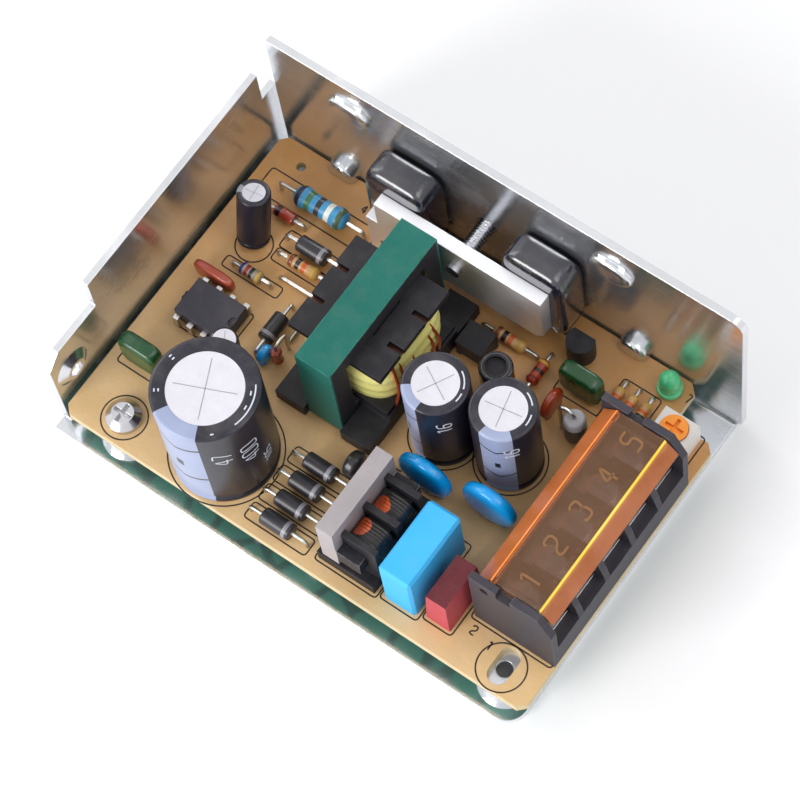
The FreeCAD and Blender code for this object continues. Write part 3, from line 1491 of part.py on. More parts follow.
def build():
    """Make every sub-part in turn."""
    fill_sheet()
    chassis()
    circuit_board()
    board_screw()
    clamp_bar()
    clamp_screw()
    for label, kind, across in (("transistor", "power_transistor", "transistor_across"),
                                ("rectifier", "power_rectifier", "rectifier_across")):
        sleeve(label + "_sleeve", across)
        package(kind, across)
    core_half("transformer_core_upper", True)
    core_half("transformer_core_lower", False)
    transformer_tape()
    transformer_bobbin()
    transformer_winding()
    transformer_pins()
    can("bulk_capacitor", "bulk_radius", "bulk_height", "bulk_disc", ("bulk_across", "bulk_along"))
    can("output_capacitor_front", "output_radius", "output_height", "output_disc",
        ("output_front_across", "output_front_along"))
    can("output_capacitor_rear", "output_radius", "output_height", "output_disc",
        ("output_rear_across", "output_rear_along"))
    can("supply_capacitor", "supply_radius", "supply_height", "small_disc",
        ("supply_across", "supply_along"), lean="supply_lean", leads=True)
    can("small_capacitor", "small_can_radius", "small_can_height", "small_disc * 0.8",
        ("small_can_across", "small_can_along"))
    drum_inductor()
    controller_chip()
    optocoupler()
    axial_parts()
    repeated_axials()
    upright("upright_resistor", "upright_resistor_radius", "upright_resistor_length",
            ("upright_resistor_across", "upright_resistor_along"), 90)
    upright("upright_diode", "upright_diode_radius", "upright_diode_length",
            ("upright_diode_across", "upright_diode_along"), 180)
    choke()
    x_capacitor()
    fuse()
    standing_parts()
    reference_transistor()
    indicator_led()
    trimmer()
    terminal_housing()
    terminal_metal()
    terminal_cover()
    doc.recompute()


def check_and_write():
    """Stop on any failed object or bad shape, then write one file for each sub-part."""
    for thing in doc.Objects:
        if "Invalid" in thing.State or "Error" in thing.State:
            raise RuntimeError(thing.Label + " failed: " + " ".join(thing.State))
    for piece in NODES:
        if piece.Shape.isNull() or not piece.Shape.isValid():
            raise RuntimeError(piece.Label + " has a bad shape")
    os.makedirs("parts", exist_ok=True)
    for piece in NODES:
        piece.Shape.exportStep(os.path.join("parts", piece.Label + ".step"))


build()
check_and_write()
print(len(NODES), "sub-parts written")
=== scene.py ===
"""Looks of the open frame power supply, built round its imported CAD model.

Sizes are millimetres until a mesh is written. +X runs to the wire terminals, +Y to the back wall,
+Z up. Places on the board are measured from its top face's front left corner.
"""

import math

import bpy
import numpy as np
from mathutils import Matrix, Vector


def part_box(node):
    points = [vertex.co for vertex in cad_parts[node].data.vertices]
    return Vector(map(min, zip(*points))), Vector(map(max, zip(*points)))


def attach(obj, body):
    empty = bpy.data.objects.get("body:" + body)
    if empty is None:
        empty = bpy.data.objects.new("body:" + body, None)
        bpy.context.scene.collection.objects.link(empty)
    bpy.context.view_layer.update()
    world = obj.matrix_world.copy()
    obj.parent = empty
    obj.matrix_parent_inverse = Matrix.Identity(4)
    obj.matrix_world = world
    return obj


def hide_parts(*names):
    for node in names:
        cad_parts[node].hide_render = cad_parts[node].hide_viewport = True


MM = 0.001
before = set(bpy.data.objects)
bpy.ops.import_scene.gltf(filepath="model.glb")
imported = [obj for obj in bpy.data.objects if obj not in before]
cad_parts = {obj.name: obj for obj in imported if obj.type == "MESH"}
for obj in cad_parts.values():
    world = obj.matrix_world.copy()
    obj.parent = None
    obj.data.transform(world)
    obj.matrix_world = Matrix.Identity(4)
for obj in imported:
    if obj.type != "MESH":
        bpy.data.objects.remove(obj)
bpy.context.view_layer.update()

# camera, solved from the photograph: turn round the part, lean off upright and roll, in degrees
CAMERA_TURN = -42.99
CAMERA_LEAN = 23.95
CAMERA_ROLL = -12.14
CAMERA_DISTANCE = 502.1
CAMERA_LENS = 153.0
CAMERA_FAR = 10.0
CAMERA_AIM = (39.43, 30.16, -3.67)

# wires and print
LEAD = 0.3
LEAD_BEND = 0.75
LEAD_BELOW = 2.6
INK_WIDTH = 0.22
INK_HEIGHT = 0.03
SOLDER_RADIUS = 0.95
CREASE = 35


def box(node):
    """Low and high corner of a CAD node, in millimetres."""
    low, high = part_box(node)
    return np.array(low) / MM, np.array(high) / MM


BOARD_LOW, BOARD_HIGH = box("circuit_board")
ORIGIN = np.array([BOARD_LOW[0], BOARD_LOW[1], BOARD_HIGH[2]])
WAYS = {"x": np.array([1.0, 0, 0]), "y": np.array([0, 1.0, 0])}
RISE = np.array([0, 0, 1.0])
FEET = []  # where leads come through the board, for the solder


def on_board(across, along, up=0.0):
    """A place on the board, in the frame's millimetres."""
    return ORIGIN + np.array([across, along, up])


def over(low, high, height):
    """The place over a box's middle, at a height."""
    return np.array([*(low + high)[:2] / 2, height])


def unit(vectors):
    """Vectors of length one, along the last axis."""
    return vectors / np.linalg.norm(vectors, axis=-1, keepdims=True)


def circle(count):
    """Even turns of a circle, in radians."""
    return np.arange(count) / count * 2 * np.pi


def arc(centre, radius, turn):
    """Level arc through the given turns: centre + r (cos a, sin a)."""
    return centre + radius * np.stack([np.cos(turn), np.sin(turn), 0 * turn], -1)


# surfaces

class Surface:
    """Collects grids of points for one piece, and writes them as one mesh with a UV map."""

    def __init__(self):
        self.points = []
        self.faces = []
        self.places = []
        self.finishes = []
        self.count = 0

    def grid(self, points, finish=0, looped=False):
        """Rows of closed rings. Both ends are closed, or looped joins the last row to the first.

        finish is a place in the list that write is given. A corner's UV place is its turn round the
        ring and its share of the length along the rows.
        """
        rows, columns = points.shape[:2]
        row, column = np.mgrid[0:rows if looped else rows - 1, 0:columns]
        ahead = (column + 1) % columns
        above = (row + 1) % rows
        quads = np.stack([row * columns + column, row * columns + ahead,
                          above * columns + ahead, above * columns + column], -1).reshape(-1, 4)
        self.faces += (self.count + quads).tolist()
        self.finishes += [finish] * len(quads)
        right = (column + 1) / columns
        left = column / columns
        steps = np.linalg.norm(np.roll(points, -1, axis=0) - points, axis=2).mean(axis=1)
        run = np.concatenate([[0], np.cumsum(steps if looped else steps[:-1])])
        low, high = run[row] / run[-1], run[row + 1] / run[-1]
        places = np.stack([left, low, right, low, right, high, left, high], -1)
        self.places.append(places.reshape(-1, 2))
        if not looped:
            ring = np.arange(columns)
            for corners, height in ((ring[::-1], 0.0), ((rows - 1) * columns + ring, 1.0)):
                self.faces.append((self.count + corners).tolist())
                self.finishes.append(finish)
                self.places.append(np.stack([ring / columns, np.full(columns, height)], -1))
        self.points.append(points.reshape(-1, 3))
        self.count += rows * columns

    def write(self, name, body, slot, finishes, replaces=()):
        """Make the object, seat it on its body and give it its finishes, by their plain names."""
        mesh = bpy.data.meshes.new(name)
        mesh.from_pydata((np.concatenate(self.points) * MM).tolist(), [], self.faces)
        uv = mesh.uv_layers.new(name="UVMap")
        uv.data.foreach_set("uv", np.concatenate(self.places).astype(np.float32).ravel())
        mesh.polygons.foreach_set("material_index", self.finishes)
        mesh.polygons.foreach_set("use_smooth", [True] * len(mesh.polygons))
        mesh.set_sharp_from_angle(angle=math.radians(CREASE))
        for finish in finishes:
            mesh.materials.append(FINISH[finish])
        piece = bpy.data.objects.new(name, mesh)
        bpy.context.scene.collection.objects.link(piece)
        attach(piece, body)
        if replaces:
            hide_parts(*replaces)
        return piece


def eased(corners, radius, steps=5):
    """A line of corners with each inner one drawn as a curve that starts radius before it.

    Between the two tangent points the curve is (1-t)^2 a + 2t(1-t) corner + t^2 b.
    """
    corners = np.array(corners, float)
    before = corners[:-2] - corners[1:-1]
    after = corners[2:] - corners[1:-1]
    reach_before = np.minimum(radius, 0.45 * np.linalg.norm(before, axis=1))[:, None]
    reach_after = np.minimum(radius, 0.45 * np.linalg.norm(after, axis=1))[:, None]
    start = corners[1:-1] + unit(before) * reach_before
    end = corners[1:-1] + unit(after) * reach_after
    t = np.linspace(0, 1, steps)[None, :, None]
    bends = ((1 - t) ** 2 * start[:, None] + 2 * t * (1 - t) * corners[1:-1, None]
             + t ** 2 * end[:, None])
    return np.concatenate([corners[:1], bends.reshape(-1, corners.shape[1]), corners[-1:]])


def lathe(profile, around):
    """Rings of a line of (radius, height) turned about the upright axis.

    The point at turn a is (r cos a, r sin a, h).
    """
    profile = np.asarray(profile, float)
    turn = circle(around)
    radius = profile[:, 0, None]
    height = np.repeat(profile[:, 1, None], around, axis=1)
    return np.stack([radius * np.cos(turn), radius * np.sin(turn), height], -1)


def laid(points, axis):
    """Points made about the upright axis, turned so that it lies along x or y."""
    return points[..., [2, 0, 1]] if axis == "x" else points[..., [1, 2, 0]]


def tube(path, radius, side, around=10):
    """Rings along a path: p + r (cos a u + sin a w).

    u is square to the path and to side, and w to the path and to u.
    """
    tangent = unit(np.gradient(path, axis=0))
    u = unit(np.cross(np.broadcast_to(side, path.shape), tangent))
    w = np.cross(tangent, u)
    turn = circle(around)[None, :, None]
    radius = np.broadcast_to(radius, len(path))[:, None, None]
    return path[:, None] + radius * (np.cos(turn) * u[:, None] + np.sin(turn) * w[:, None])


def ribbon(path, width=INK_WIDTH, height=INK_HEIGHT):
    """Flat strip along a level path: a four cornered ring, width across and height up."""
    tangent = unit(np.gradient(path, axis=0))
    up = RISE * height
    out = unit(np.cross(tangent, RISE)) * width / 2
    return np.stack([path + out, path - out, path - out + up, path + out + up], 1)


def power(value, exponent):
    """Signed power, for rounded squares."""
    return np.sign(value) * np.abs(value) ** exponent


def pillow(low, high, square, rows=20, around=48, crown=None):
    """Rounded block about a box's middle: (cos v)^k (a (cos u)^s, b (sin u)^s) and c (sin v)^k.

    s is square, and k is crown, or s where none is given.
    """
    crown = crown or square
    half = (high - low) / 2
    v = np.linspace(-1.52, 1.52, rows)[:, None]
    u = circle(around)[None, :]
    rim = power(np.cos(v), crown)
    return (low + high) / 2 + np.stack([
        half[0] * rim * power(np.cos(u), square), half[1] * rim * power(np.sin(u), square),
        half[2] * power(np.sin(v), crown) * np.ones_like(u)], -1)


# pen strokes of the plain numbers, in a cell one wide and two high
PEN = {
    "0": ((0, 0), (1, 0), (1, 2), (0, 2), (0, 0)), "1": ((0.1, 1.6), (0.6, 2), (0.6, 0)),
    "2": ((0, 1.6), (0, 2), (1, 2), (1, 1.1), (0, 0.6), (0, 0), (1, 0)),
    "3": ((0, 1.8), (0.1, 2), (1, 2), (0.9, 1.1), (0.4, 1.05), (1, 1), (1, 0), (0, 0), (0, 0.3)),
    "4": ((0.8, 0), (0.8, 2), (0, 0.6), (1.1, 0.6)),
    "5": ((1, 2), (0, 2), (0, 1.1), (1, 1.2), (1, 0), (0, 0)),
    "6": ((1, 1.8), (0.8, 2), (0, 1.8), (0, 0), (1, 0), (1, 1.1), (0, 1)),
    "7": ((0, 2), (1, 2), (0.4, 0)),
    "8": ((0.5, 1), (0, 1.2), (0, 2), (1, 2), (1, 1.2), (0, 0.9), (0, 0), (1, 0), (1, 0.9),
          (0.5, 1)),
    "9": ((1, 1), (0, 0.9), (0, 2), (1, 2), (1, 0.2), (0.3, 0)),
}
PEN_BEND = 0.45
PEN_STEP = 1.45


def write_text(surface, text, height, place, width=INK_WIDTH, depth=INK_HEIGHT):
    """Draw numbers as ribbons about the origin. place carries their flat points to the piece."""
    for index, character in enumerate(text):
        shift = PEN_STEP * (index - (len(text) - 1) / 2)
        pen = eased(PEN[character], PEN_BEND, 7) - (0.5 - shift, 1.0)
        steps = np.linspace(0, len(pen) - 1, 4 * len(pen))
        known = np.arange(len(pen))
        path = np.stack([np.interp(steps, known, pen[:, 0]), np.interp(steps, known, pen[:, 1]),
                         0 * steps], -1)
        ring = ribbon(path * height / 2, width, depth)
        surface.grid(place(ring.reshape(-1, 3)).reshape(ring.shape))


def wrapped(centre, radius, turn, up):
    """Carries flat points round a can: x goes up, and y lies y / r back from the turn."""
    def place(points):
        """The points on the can."""
        angle = math.radians(turn) - points[:, 1] / radius
        out = radius + points[:, 2]
        return np.stack([centre[0] + out * np.cos(angle), centre[1] + out * np.sin(angle),
                         centre[2] + up + points[:, 0]], -1)
    return place


# shader parts

# where on the board the choke's copper shows, and where the cover's walls carry a painted glowing
# highlight
COIL_WINDOWS = ((50.4, 7.5), (50.8, 11.6))
COVER_LINES = (72.1, 80.3)


def srgb(red, green, blue):
    """Linear colour of three screen values from 0 to 255."""
    share = np.array([red, green, blue]) / 255
    linear = np.where(share <= 0.04045, share / 12.92, ((share + 0.055) / 1.055) ** 2.4)
    return (*linear.tolist(), 1.0)


def put(tree, kind, settings=None, **inputs):
    """Add a shader node, with its settings and its inputs, each a value or another socket."""
    made = tree.nodes.new("ShaderNode" + kind)
    for name, value in (settings or {}).items():
        setattr(made, name, value)
    for name, value in inputs.items():
        wire(tree, made.inputs[name.replace("_", " ")], value)
    return made


def wire(tree, socket, value):
    """Link a socket to another, or set its value, a colour as three screen values."""
    if isinstance(value, bpy.types.NodeSocket):
        tree.links.new(value, socket)
    elif socket.type == "RGBA" and len(value) == 3:
        socket.default_value = srgb(*value)
    else:
        socket.default_value = value


def coordinate(tree, output, letter):
    """One part, X, Y or Z, of a texture coordinate."""
    return put(tree, "SeparateXYZ", Vector=put(tree, "TexCoord").outputs[output]).outputs[letter]


def maths(tree, operation, *values):
    """The result of one sum."""
    made = tree.nodes.new("ShaderNodeMath")
    made.operation = operation
    for socket, value in zip(made.inputs, values):
        wire(tree, socket, value)
    return made.outputs[0]


def apart(tree, first, second):
    """How far two values are from each other."""
    return maths(tree, "ABSOLUTE", maths(tree, "SUBTRACT", first, second))


def vectors(tree, operation, first, second):
    """The value that a sum of two vectors gives."""
    made = put(tree, "VectorMath", {"operation": operation})
    wire(tree, made.inputs[0], first)
    wire(tree, made.inputs[1], second)
    return made.outputs["Value"]


def mixed(tree, share, first, second):
    """First colour, going over to the second as share goes from 0 to 1."""
    made = tree.nodes.new("ShaderNodeMix")
    made.data_type = "RGBA"
    for index, value in ((0, share), (6, first), (7, second)):
        wire(tree, made.inputs[index], value)
    return made.outputs[2]


def ramped(tree, value, low, high):
    """0 below low, 1 above high and smooth between."""
    return put(tree, "MapRange", {"interpolation_type": "SMOOTHSTEP"}, Value=value, From_Min=low,
               From_Max=high).outputs[0]


def noise(tree, place, scale, detail=3.0, rough=0.55):
    """Soft noise about a half."""
    return put(tree, "TexNoise", Vector=place, Scale=scale, Detail=detail,
               Roughness=rough).outputs[0]


def new_group(name, inputs, **outputs):
    """An empty node group with named sockets: the tree, what comes in and what goes out."""
    tree = bpy.data.node_groups.new(name, "ShaderNodeTree")
    for label, value in inputs.items():
        kind = "Color" if isinstance(value, tuple) else "Float"
        socket = tree.interface.new_socket(label, in_out="INPUT", socket_type="NodeSocket" + kind)
        socket.default_value = value
    for label, kind in outputs.items():
        tree.interface.new_socket(label, in_out="OUTPUT", socket_type="NodeSocket" + kind)
    return tree, tree.nodes.new("NodeGroupInput").outputs, tree.nodes.new("NodeGroupOutput").inputs


def make_surface_group():
    """Colour patches, fine grain, softened and worn edges and settled dust."""
    tree, given, result = new_group("surface", dict(
        Color=(0.5, 0.5, 0.5, 1), Variation=0.1, Patches=90.0, Roughness=0.5, Spread=0.12,
        Grain=1800.0, Height=0.00002, Rounding=0.00015, Wear=0.2, Worn=(0.6, 0.6, 0.6, 1),
        Dust=0.03, Relief=0.0), Color="Color", Roughness="Float", Normal="Vector")
    place = put(tree, "TexCoord").outputs["Object"]
    patch = noise(tree, place, given["Patches"])
    fine = noise(tree, place, given["Grain"], 2.0)
    change = maths(tree, "MULTIPLY", maths(tree, "SUBTRACT", patch, 0.5), given["Variation"])
    tinted = put(tree, "HueSaturation", Color=given["Color"],
                 Value=maths(tree, "MULTIPLY_ADD", change, 3.0, 1.0),
                 Saturation=maths(tree, "MULTIPLY_ADD", change, -1.2, 1.0)).outputs[0]
    soft = put(tree, "Bevel", {"samples": 4}, Radius=given["Rounding"]).outputs[0]
    flat = put(tree, "NewGeometry").outputs["Normal"]
    meeting = vectors(tree, "DOT_PRODUCT", soft, flat)
    edge = ramped(tree, maths(tree, "SUBTRACT", 1.0, meeting), 0.01, 0.16)
    scuffed = maths(tree, "MULTIPLY", edge, ramped(tree, noise(tree, place, 700.0), 0.35, 0.6))
    worn = mixed(tree, maths(tree, "MULTIPLY", scuffed, given["Wear"]), tinted, given["Worn"])
    settled = maths(tree, "MULTIPLY", ramped(tree, coordinate(tree, "Normal", "Z"), 0.3, 0.95),
                    ramped(tree, noise(tree, place, 320.0, 5.0), 0.42, 0.72))
    dust = maths(tree, "MULTIPLY", settled, given["Dust"])
    wire(tree, result["Color"], mixed(tree, dust, worn, (196, 186, 170)))
    rough = maths(tree, "MULTIPLY_ADD", maths(tree, "SUBTRACT", patch, 0.5), given["Spread"],
                  given["Roughness"])
    wire(tree, result["Roughness"], maths(tree, "MULTIPLY_ADD", dust, 0.4, rough))
    relief = maths(tree, "ADD", fine, given["Relief"])
    wire(tree, result["Normal"], put(tree, "Bump", Height=relief, Distance=given["Height"],
                                     Strength=1.0, Normal=soft).outputs[0])
    return tree


def make_brushed_group():
    """Long fine streaks and soft smears, as on rolled sheet."""
    tree, given, result = new_group("brushed", dict(
        Color=(0.7, 0.7, 0.7, 1), Roughness=0.2, Streaks=0.1, Smears=0.1),
        Color="Color", Roughness="Float", Relief="Float")
    place = put(tree, "TexCoord").outputs["Object"]
    drawn = put(tree, "Mapping", Vector=place, Scale=(60.0, 60.0, 2600.0)).outputs[0]
    streak = maths(tree, "SUBTRACT", noise(tree, drawn, 1.0, 4.0, 0.7), 0.5)
    smear = ramped(tree, noise(tree, place, 55.0, 6.0, 0.6), 0.45, 0.75)
    wire(tree, result["Color"], put(
        tree, "HueSaturation", Color=given["Color"],
        Value=maths(tree, "MULTIPLY_ADD", streak, given["Streaks"], 1.0)).outputs[0])
    lifted = maths(tree, "MULTIPLY_ADD", smear, given["Smears"], given["Roughness"])
    wire(tree, result["Roughness"], maths(tree, "MULTIPLY_ADD", streak, given["Streaks"], lifted))
    groove = put(tree, "Mapping", Vector=place, Scale=(40.0, 40.0, 7000.0)).outputs[0]
    wire(tree, result["Relief"], maths(tree, "MULTIPLY", noise(tree, groove, 1.0, 1.0), 1.6))
    return tree


def make_sleeve_group():
    """Print on a can's sleeve from its UV: a pale stripe with two dark chevrons and a dark dash.

    The chevrons' height is 1 or 0.6, less Chevron, plus 0.65 of the way from the stripe's middle.
    """
    tree, given, result = new_group("sleeve print", dict(
        Sleeve=(0.02, 0.02, 0.03, 1), Ink=(0.6, 0.65, 0.75, 1), Stripe=0.5, Width=0.07,
        Chevron=0.6), Color="Color", Mask="Float")
    up = coordinate(tree, "UV", "Y")
    off = apart(tree, coordinate(tree, "UV", "X"), given["Stripe"])
    mask = maths(tree, "LESS_THAN", off, given["Width"])
    level = maths(tree, "ADD", up, maths(tree, "MULTIPLY_ADD", off, -0.65, given["Chevron"]))
    lines = [maths(tree, "LESS_THAN", apart(tree, level, middle), 0.009) for middle in (1.0, 0.6)]
    narrow = maths(tree, "LESS_THAN", off, maths(tree, "MULTIPLY", given["Width"], 0.16))
    middle = maths(tree, "SUBTRACT", 0.79, given["Chevron"])
    dash = maths(tree, "MULTIPLY", narrow, maths(tree, "LESS_THAN", apart(tree, up, middle), 0.035))
    dark = maths(tree, "MAXIMUM", maths(tree, "MAXIMUM", *lines), dash)
    mask = maths(tree, "MULTIPLY", mask, maths(tree, "SUBTRACT", 1.0, dark))
    wire(tree, result["Mask"], mask)
    wire(tree, result["Color"], mixed(tree, mask, given["Sleeve"], given["Ink"]))
    return tree


SURFACE = make_surface_group()
BRUSHED = make_brushed_group()
SLEEVE = make_sleeve_group()


def placed_group(tree, group, **inputs):
    """A group placed in a material with its own values."""
    made = tree.nodes.new("ShaderNodeGroup")
    made.node_tree = group
    for name, value in inputs.items():
        wire(tree, made.inputs[name], value)
    return made


def blank(name):
    """A new material: itself, its tree and its shader."""
    made = bpy.data.materials.new(name)
    made.use_nodes = True
    return made, made.node_tree, made.node_tree.nodes["Principled BSDF"]


def clothe(tree, shader, metal, coat, shine=0.35, **inputs):
    """Feed the shader from the shared surface group."""
    skin = placed_group(tree, SURFACE, **inputs)
    tree.links.new(skin.outputs["Color"], shader.inputs["Base Color"])
    for output in ("Roughness", "Normal"):
        tree.links.new(skin.outputs[output], shader.inputs[output])
    shader.inputs["Metallic"].default_value = metal
    shader.inputs["Coat Weight"].default_value = coat
    shader.inputs["Coat Roughness"].default_value = 0.12
    shader.inputs["Specular IOR Level"].default_value = shine


def plain(name, colour, rough, metal=0.0, coat=0.0, shine=0.35, **more):
    """One colour with its variation, grain, wear and dust."""
    made, tree, shader = blank(name)
    clothe(tree, shader, metal, coat, shine, Color=colour, Roughness=rough, **more)
    return made


def ringed(name, stops, rough=0.4, coat=0.2, **more):
    """Rings of colour along a turned body, from (start, colour) pairs up its UV."""
    made, tree, shader = blank(name)
    ramp = put(tree, "ValToRGB", Fac=coordinate(tree, "UV", "Y"))
    ramp.color_ramp.interpolation = "CONSTANT"
    while len(ramp.color_ramp.elements) < len(stops):
        ramp.color_ramp.elements.new(1.0)
    for element, (start, colour) in zip(ramp.color_ramp.elements, stops):
        element.position = start
        element.color = srgb(*colour)
    clothe(tree, shader, 0.0, coat, 0.4, Color=ramp.outputs[0], Roughness=rough, **more)
    return made


def banded(base, bands, width=0.055):
    """Stops for a body with narrow bands, from (middle, colour) pairs."""
    stops = [(0.0, base)]
    for at, colour in bands:
        stops += [(at - width, colour), (at + width, base)]
    return stops


def board_finish():
    """Tan laminate above with painted shade darker to the back, a pale cut edge, green mask with
    tracks below.
    """
    made, tree, shader = blank("laminate")
    place = put(tree, "TexCoord").outputs["Object"]
    facing = coordinate(tree, "Normal", "Z")
    # painted shade: the top's tan darkens from the front edge to the back edge
    back = ramped(tree, coordinate(tree, "Object", "Y"), BOARD_LOW[1] * MM, BOARD_HIGH[1] * MM)
    top = mixed(tree, back, (222, 188, 136), (206, 152, 92))
    drawn = put(tree, "Mapping", Vector=place, Scale=(900.0, 5200.0, 900.0)).outputs[0]
    fibre = noise(tree, drawn, 1.0, 2.0)
    woven = mixed(tree, maths(tree, "MULTIPLY", fibre, 0.22), top, (168, 112, 58))
    cells = put(tree, "TexVoronoi", {"feature": "DISTANCE_TO_EDGE", "distance": "CHEBYCHEV"},
                Vector=place, Scale=170.0).outputs[0]
    tracks = mixed(tree, ramped(tree, cells, 0.08, 0.1), (34, 98, 80), (58, 146, 120))
    rim = mixed(tree, maths(tree, "GREATER_THAN", facing, -0.5), tracks, (206, 186, 140))
    colour = mixed(tree, maths(tree, "GREATER_THAN", facing, 0.5), rim, woven)
    clothe(tree, shader, 0.0, 0.15, Color=colour, Roughness=0.48, Variation=0.12, Patches=120.0,
           Height=0.00003, Wear=0.25, Worn=(236, 214, 168), Dust=0.1)
    return made


def sheet_finish(name, colour, rough, streaks, smears=0.16):
    """Bare rolled sheet."""
    made, tree, shader = blank(name)
    drawn = placed_group(tree, BRUSHED, Color=colour, Roughness=rough, Streaks=streaks,
                         Smears=smears)
    streaked = {output.name: output for output in drawn.outputs}
    clothe(tree, shader, 0.94, 0.0, **streaked, Variation=0.08, Patches=70.0, Height=0.00001,
           Rounding=0.0002, Wear=0.5, Worn=(236, 238, 240), Dust=0.05)
    return made


def sleeve_finish(name, stripe, width, chevron=0.3, ink=(150, 160, 190)):
    """Shrunk can sleeve with its printed stripe."""
    made, tree, shader = blank(name)
    printed = placed_group(tree, SLEEVE, Sleeve=(30, 29, 42), Ink=ink, Stripe=stripe,
                           Width=width, Chevron=chevron)
    clothe(tree, shader, 0.0, 0.12, 0.4, Color=printed.outputs["Color"], Roughness=0.34,
           Variation=0.12, Height=0.00002, Wear=0.35, Worn=(96, 94, 110), Dust=0.06)
    return made


def lens_finish():
    """Clear green moulding, seen through by its alpha, its own green made bright as a painted glow.
    """
    made, tree, shader = blank("green lens")
    # partly the lens's own green, partly painted glow: the colour is made bright for a lit lamp,
    # with no emission
    clothe(tree, shader, 0.0, 0.6, Color=(84, 214, 146), Roughness=0.16, Variation=0.2,
           Patches=150.0, Height=0.00002, Rounding=0.0002, Wear=0.8, Worn=(140, 236, 170), Dust=0.1)
    shader.inputs["Alpha"].default_value = 0.82
    return made


def zoned(name, near, far, node, reach, **more):
    """One colour within reach of a node's left side, and another beyond it."""
    made, tree, shader = blank(name)
    across = coordinate(tree, "Object", "X")
    edge = (box(node)[0][0] + reach) * MM
    colour = mixed(tree, ramped(tree, across, edge, edge + 0.0001), near, far)
    clothe(tree, shader, 0.0, 0.05, 0.3, Color=colour, Roughness=0.5, **more)
    return made


def topped(name, top, side, rough=0.6, coat=0.1, **more):
    """One colour on upward faces and another on the sides: painted light and shade by which way a
    face looks.
    """
    made, tree, shader = blank(name)
    facing = ramped(tree, coordinate(tree, "Normal", "Z"), 0.4, 0.8)
    colour = mixed(tree, facing, side, top)
    clothe(tree, shader, 0.0, coat, 0.25, Color=colour, Roughness=rough, **more)
    return made


def window_finish():
    """Copper wire that shows through two ragged windows in black varnish."""
    made, tree, shader = blank("varnished coil")
    place = put(tree, "TexCoord").outputs["Object"]
    flat = put(tree, "Mapping", Vector=place, Scale=(1.0, 1.0, 0.0)).outputs[0]
    inside = 0.0
    for across, along in COIL_WINDOWS:
        middle = on_board(across, along) * MM
        away = vectors(tree, "DISTANCE", flat, (middle[0], middle[1], 0.0))
        ragged = maths(tree, "MULTIPLY_ADD", noise(tree, place, 900.0), 0.0008, away)
        inside = maths(tree, "MAXIMUM", inside, maths(tree, "LESS_THAN", ragged, 0.0019))
    clothe(tree, shader, 0.0, 0.3, 0.4, Color=mixed(tree, inside, (30, 27, 30), (222, 104, 62)),
           Roughness=0.32, Variation=0.25, Patches=500.0)
    tree.links.new(maths(tree, "MULTIPLY", inside, 0.7), shader.inputs["Metallic"])
    return made


def cover_finish():
    """Clear amber: painted shade darkens it over the terminals, paler on the slopes, a painted
    highlight glowing along the walls.
    """
    made, tree, shader = blank("amber cover")
    across = coordinate(tree, "Object", "X")
    first, last = (on_board(middle, 0)[0] * MM for middle in COVER_LINES)
    # painted highlight: a narrow band along each of the two wall lines
    dim = [ramped(tree, apart(tree, across, middle), 0.00008, 0.00024) for middle in (first, last)]
    bright = maths(tree, "SUBTRACT", 1.0, maths(tree, "MINIMUM", *dim))
    inner = maths(tree, "MULTIPLY", maths(tree, "GREATER_THAN", across, first),
                  maths(tree, "LESS_THAN", across, last))
    # painted shade: the amber between the wall lines, over the terminals, is darker
    body = mixed(tree, inner, (196, 112, 60), (112, 74, 42))
    painted_glow_colour = mixed(tree, maths(tree, "GREATER_THAN", across, on_board(76, 0)[0] * MM),
                (255, 140, 60), (255, 206, 70))
    clothe(tree, shader, 0.0, 0.35, 0.5, Color=mixed(tree, bright, body, painted_glow_colour), Roughness=0.16,
           Variation=0.2, Patches=150.0, Height=0.000004, Rounding=0.0002, Wear=0.7,
           Worn=(236, 160, 96), Dust=0.02)
    tree.links.new(maths(tree, "MAXIMUM", bright, maths(tree, "MULTIPLY_ADD", inner, -0.22, 0.74)),
                   shader.inputs["Alpha"])
    # the painted highlight also glows by emission, though the cover is no lamp
    tree.links.new(mixed(tree, bright, (0, 0, 0, 1), painted_glow_colour), shader.inputs["Emission Color"])
    shader.inputs["Emission Strength"].default_value = 0.35
    return made


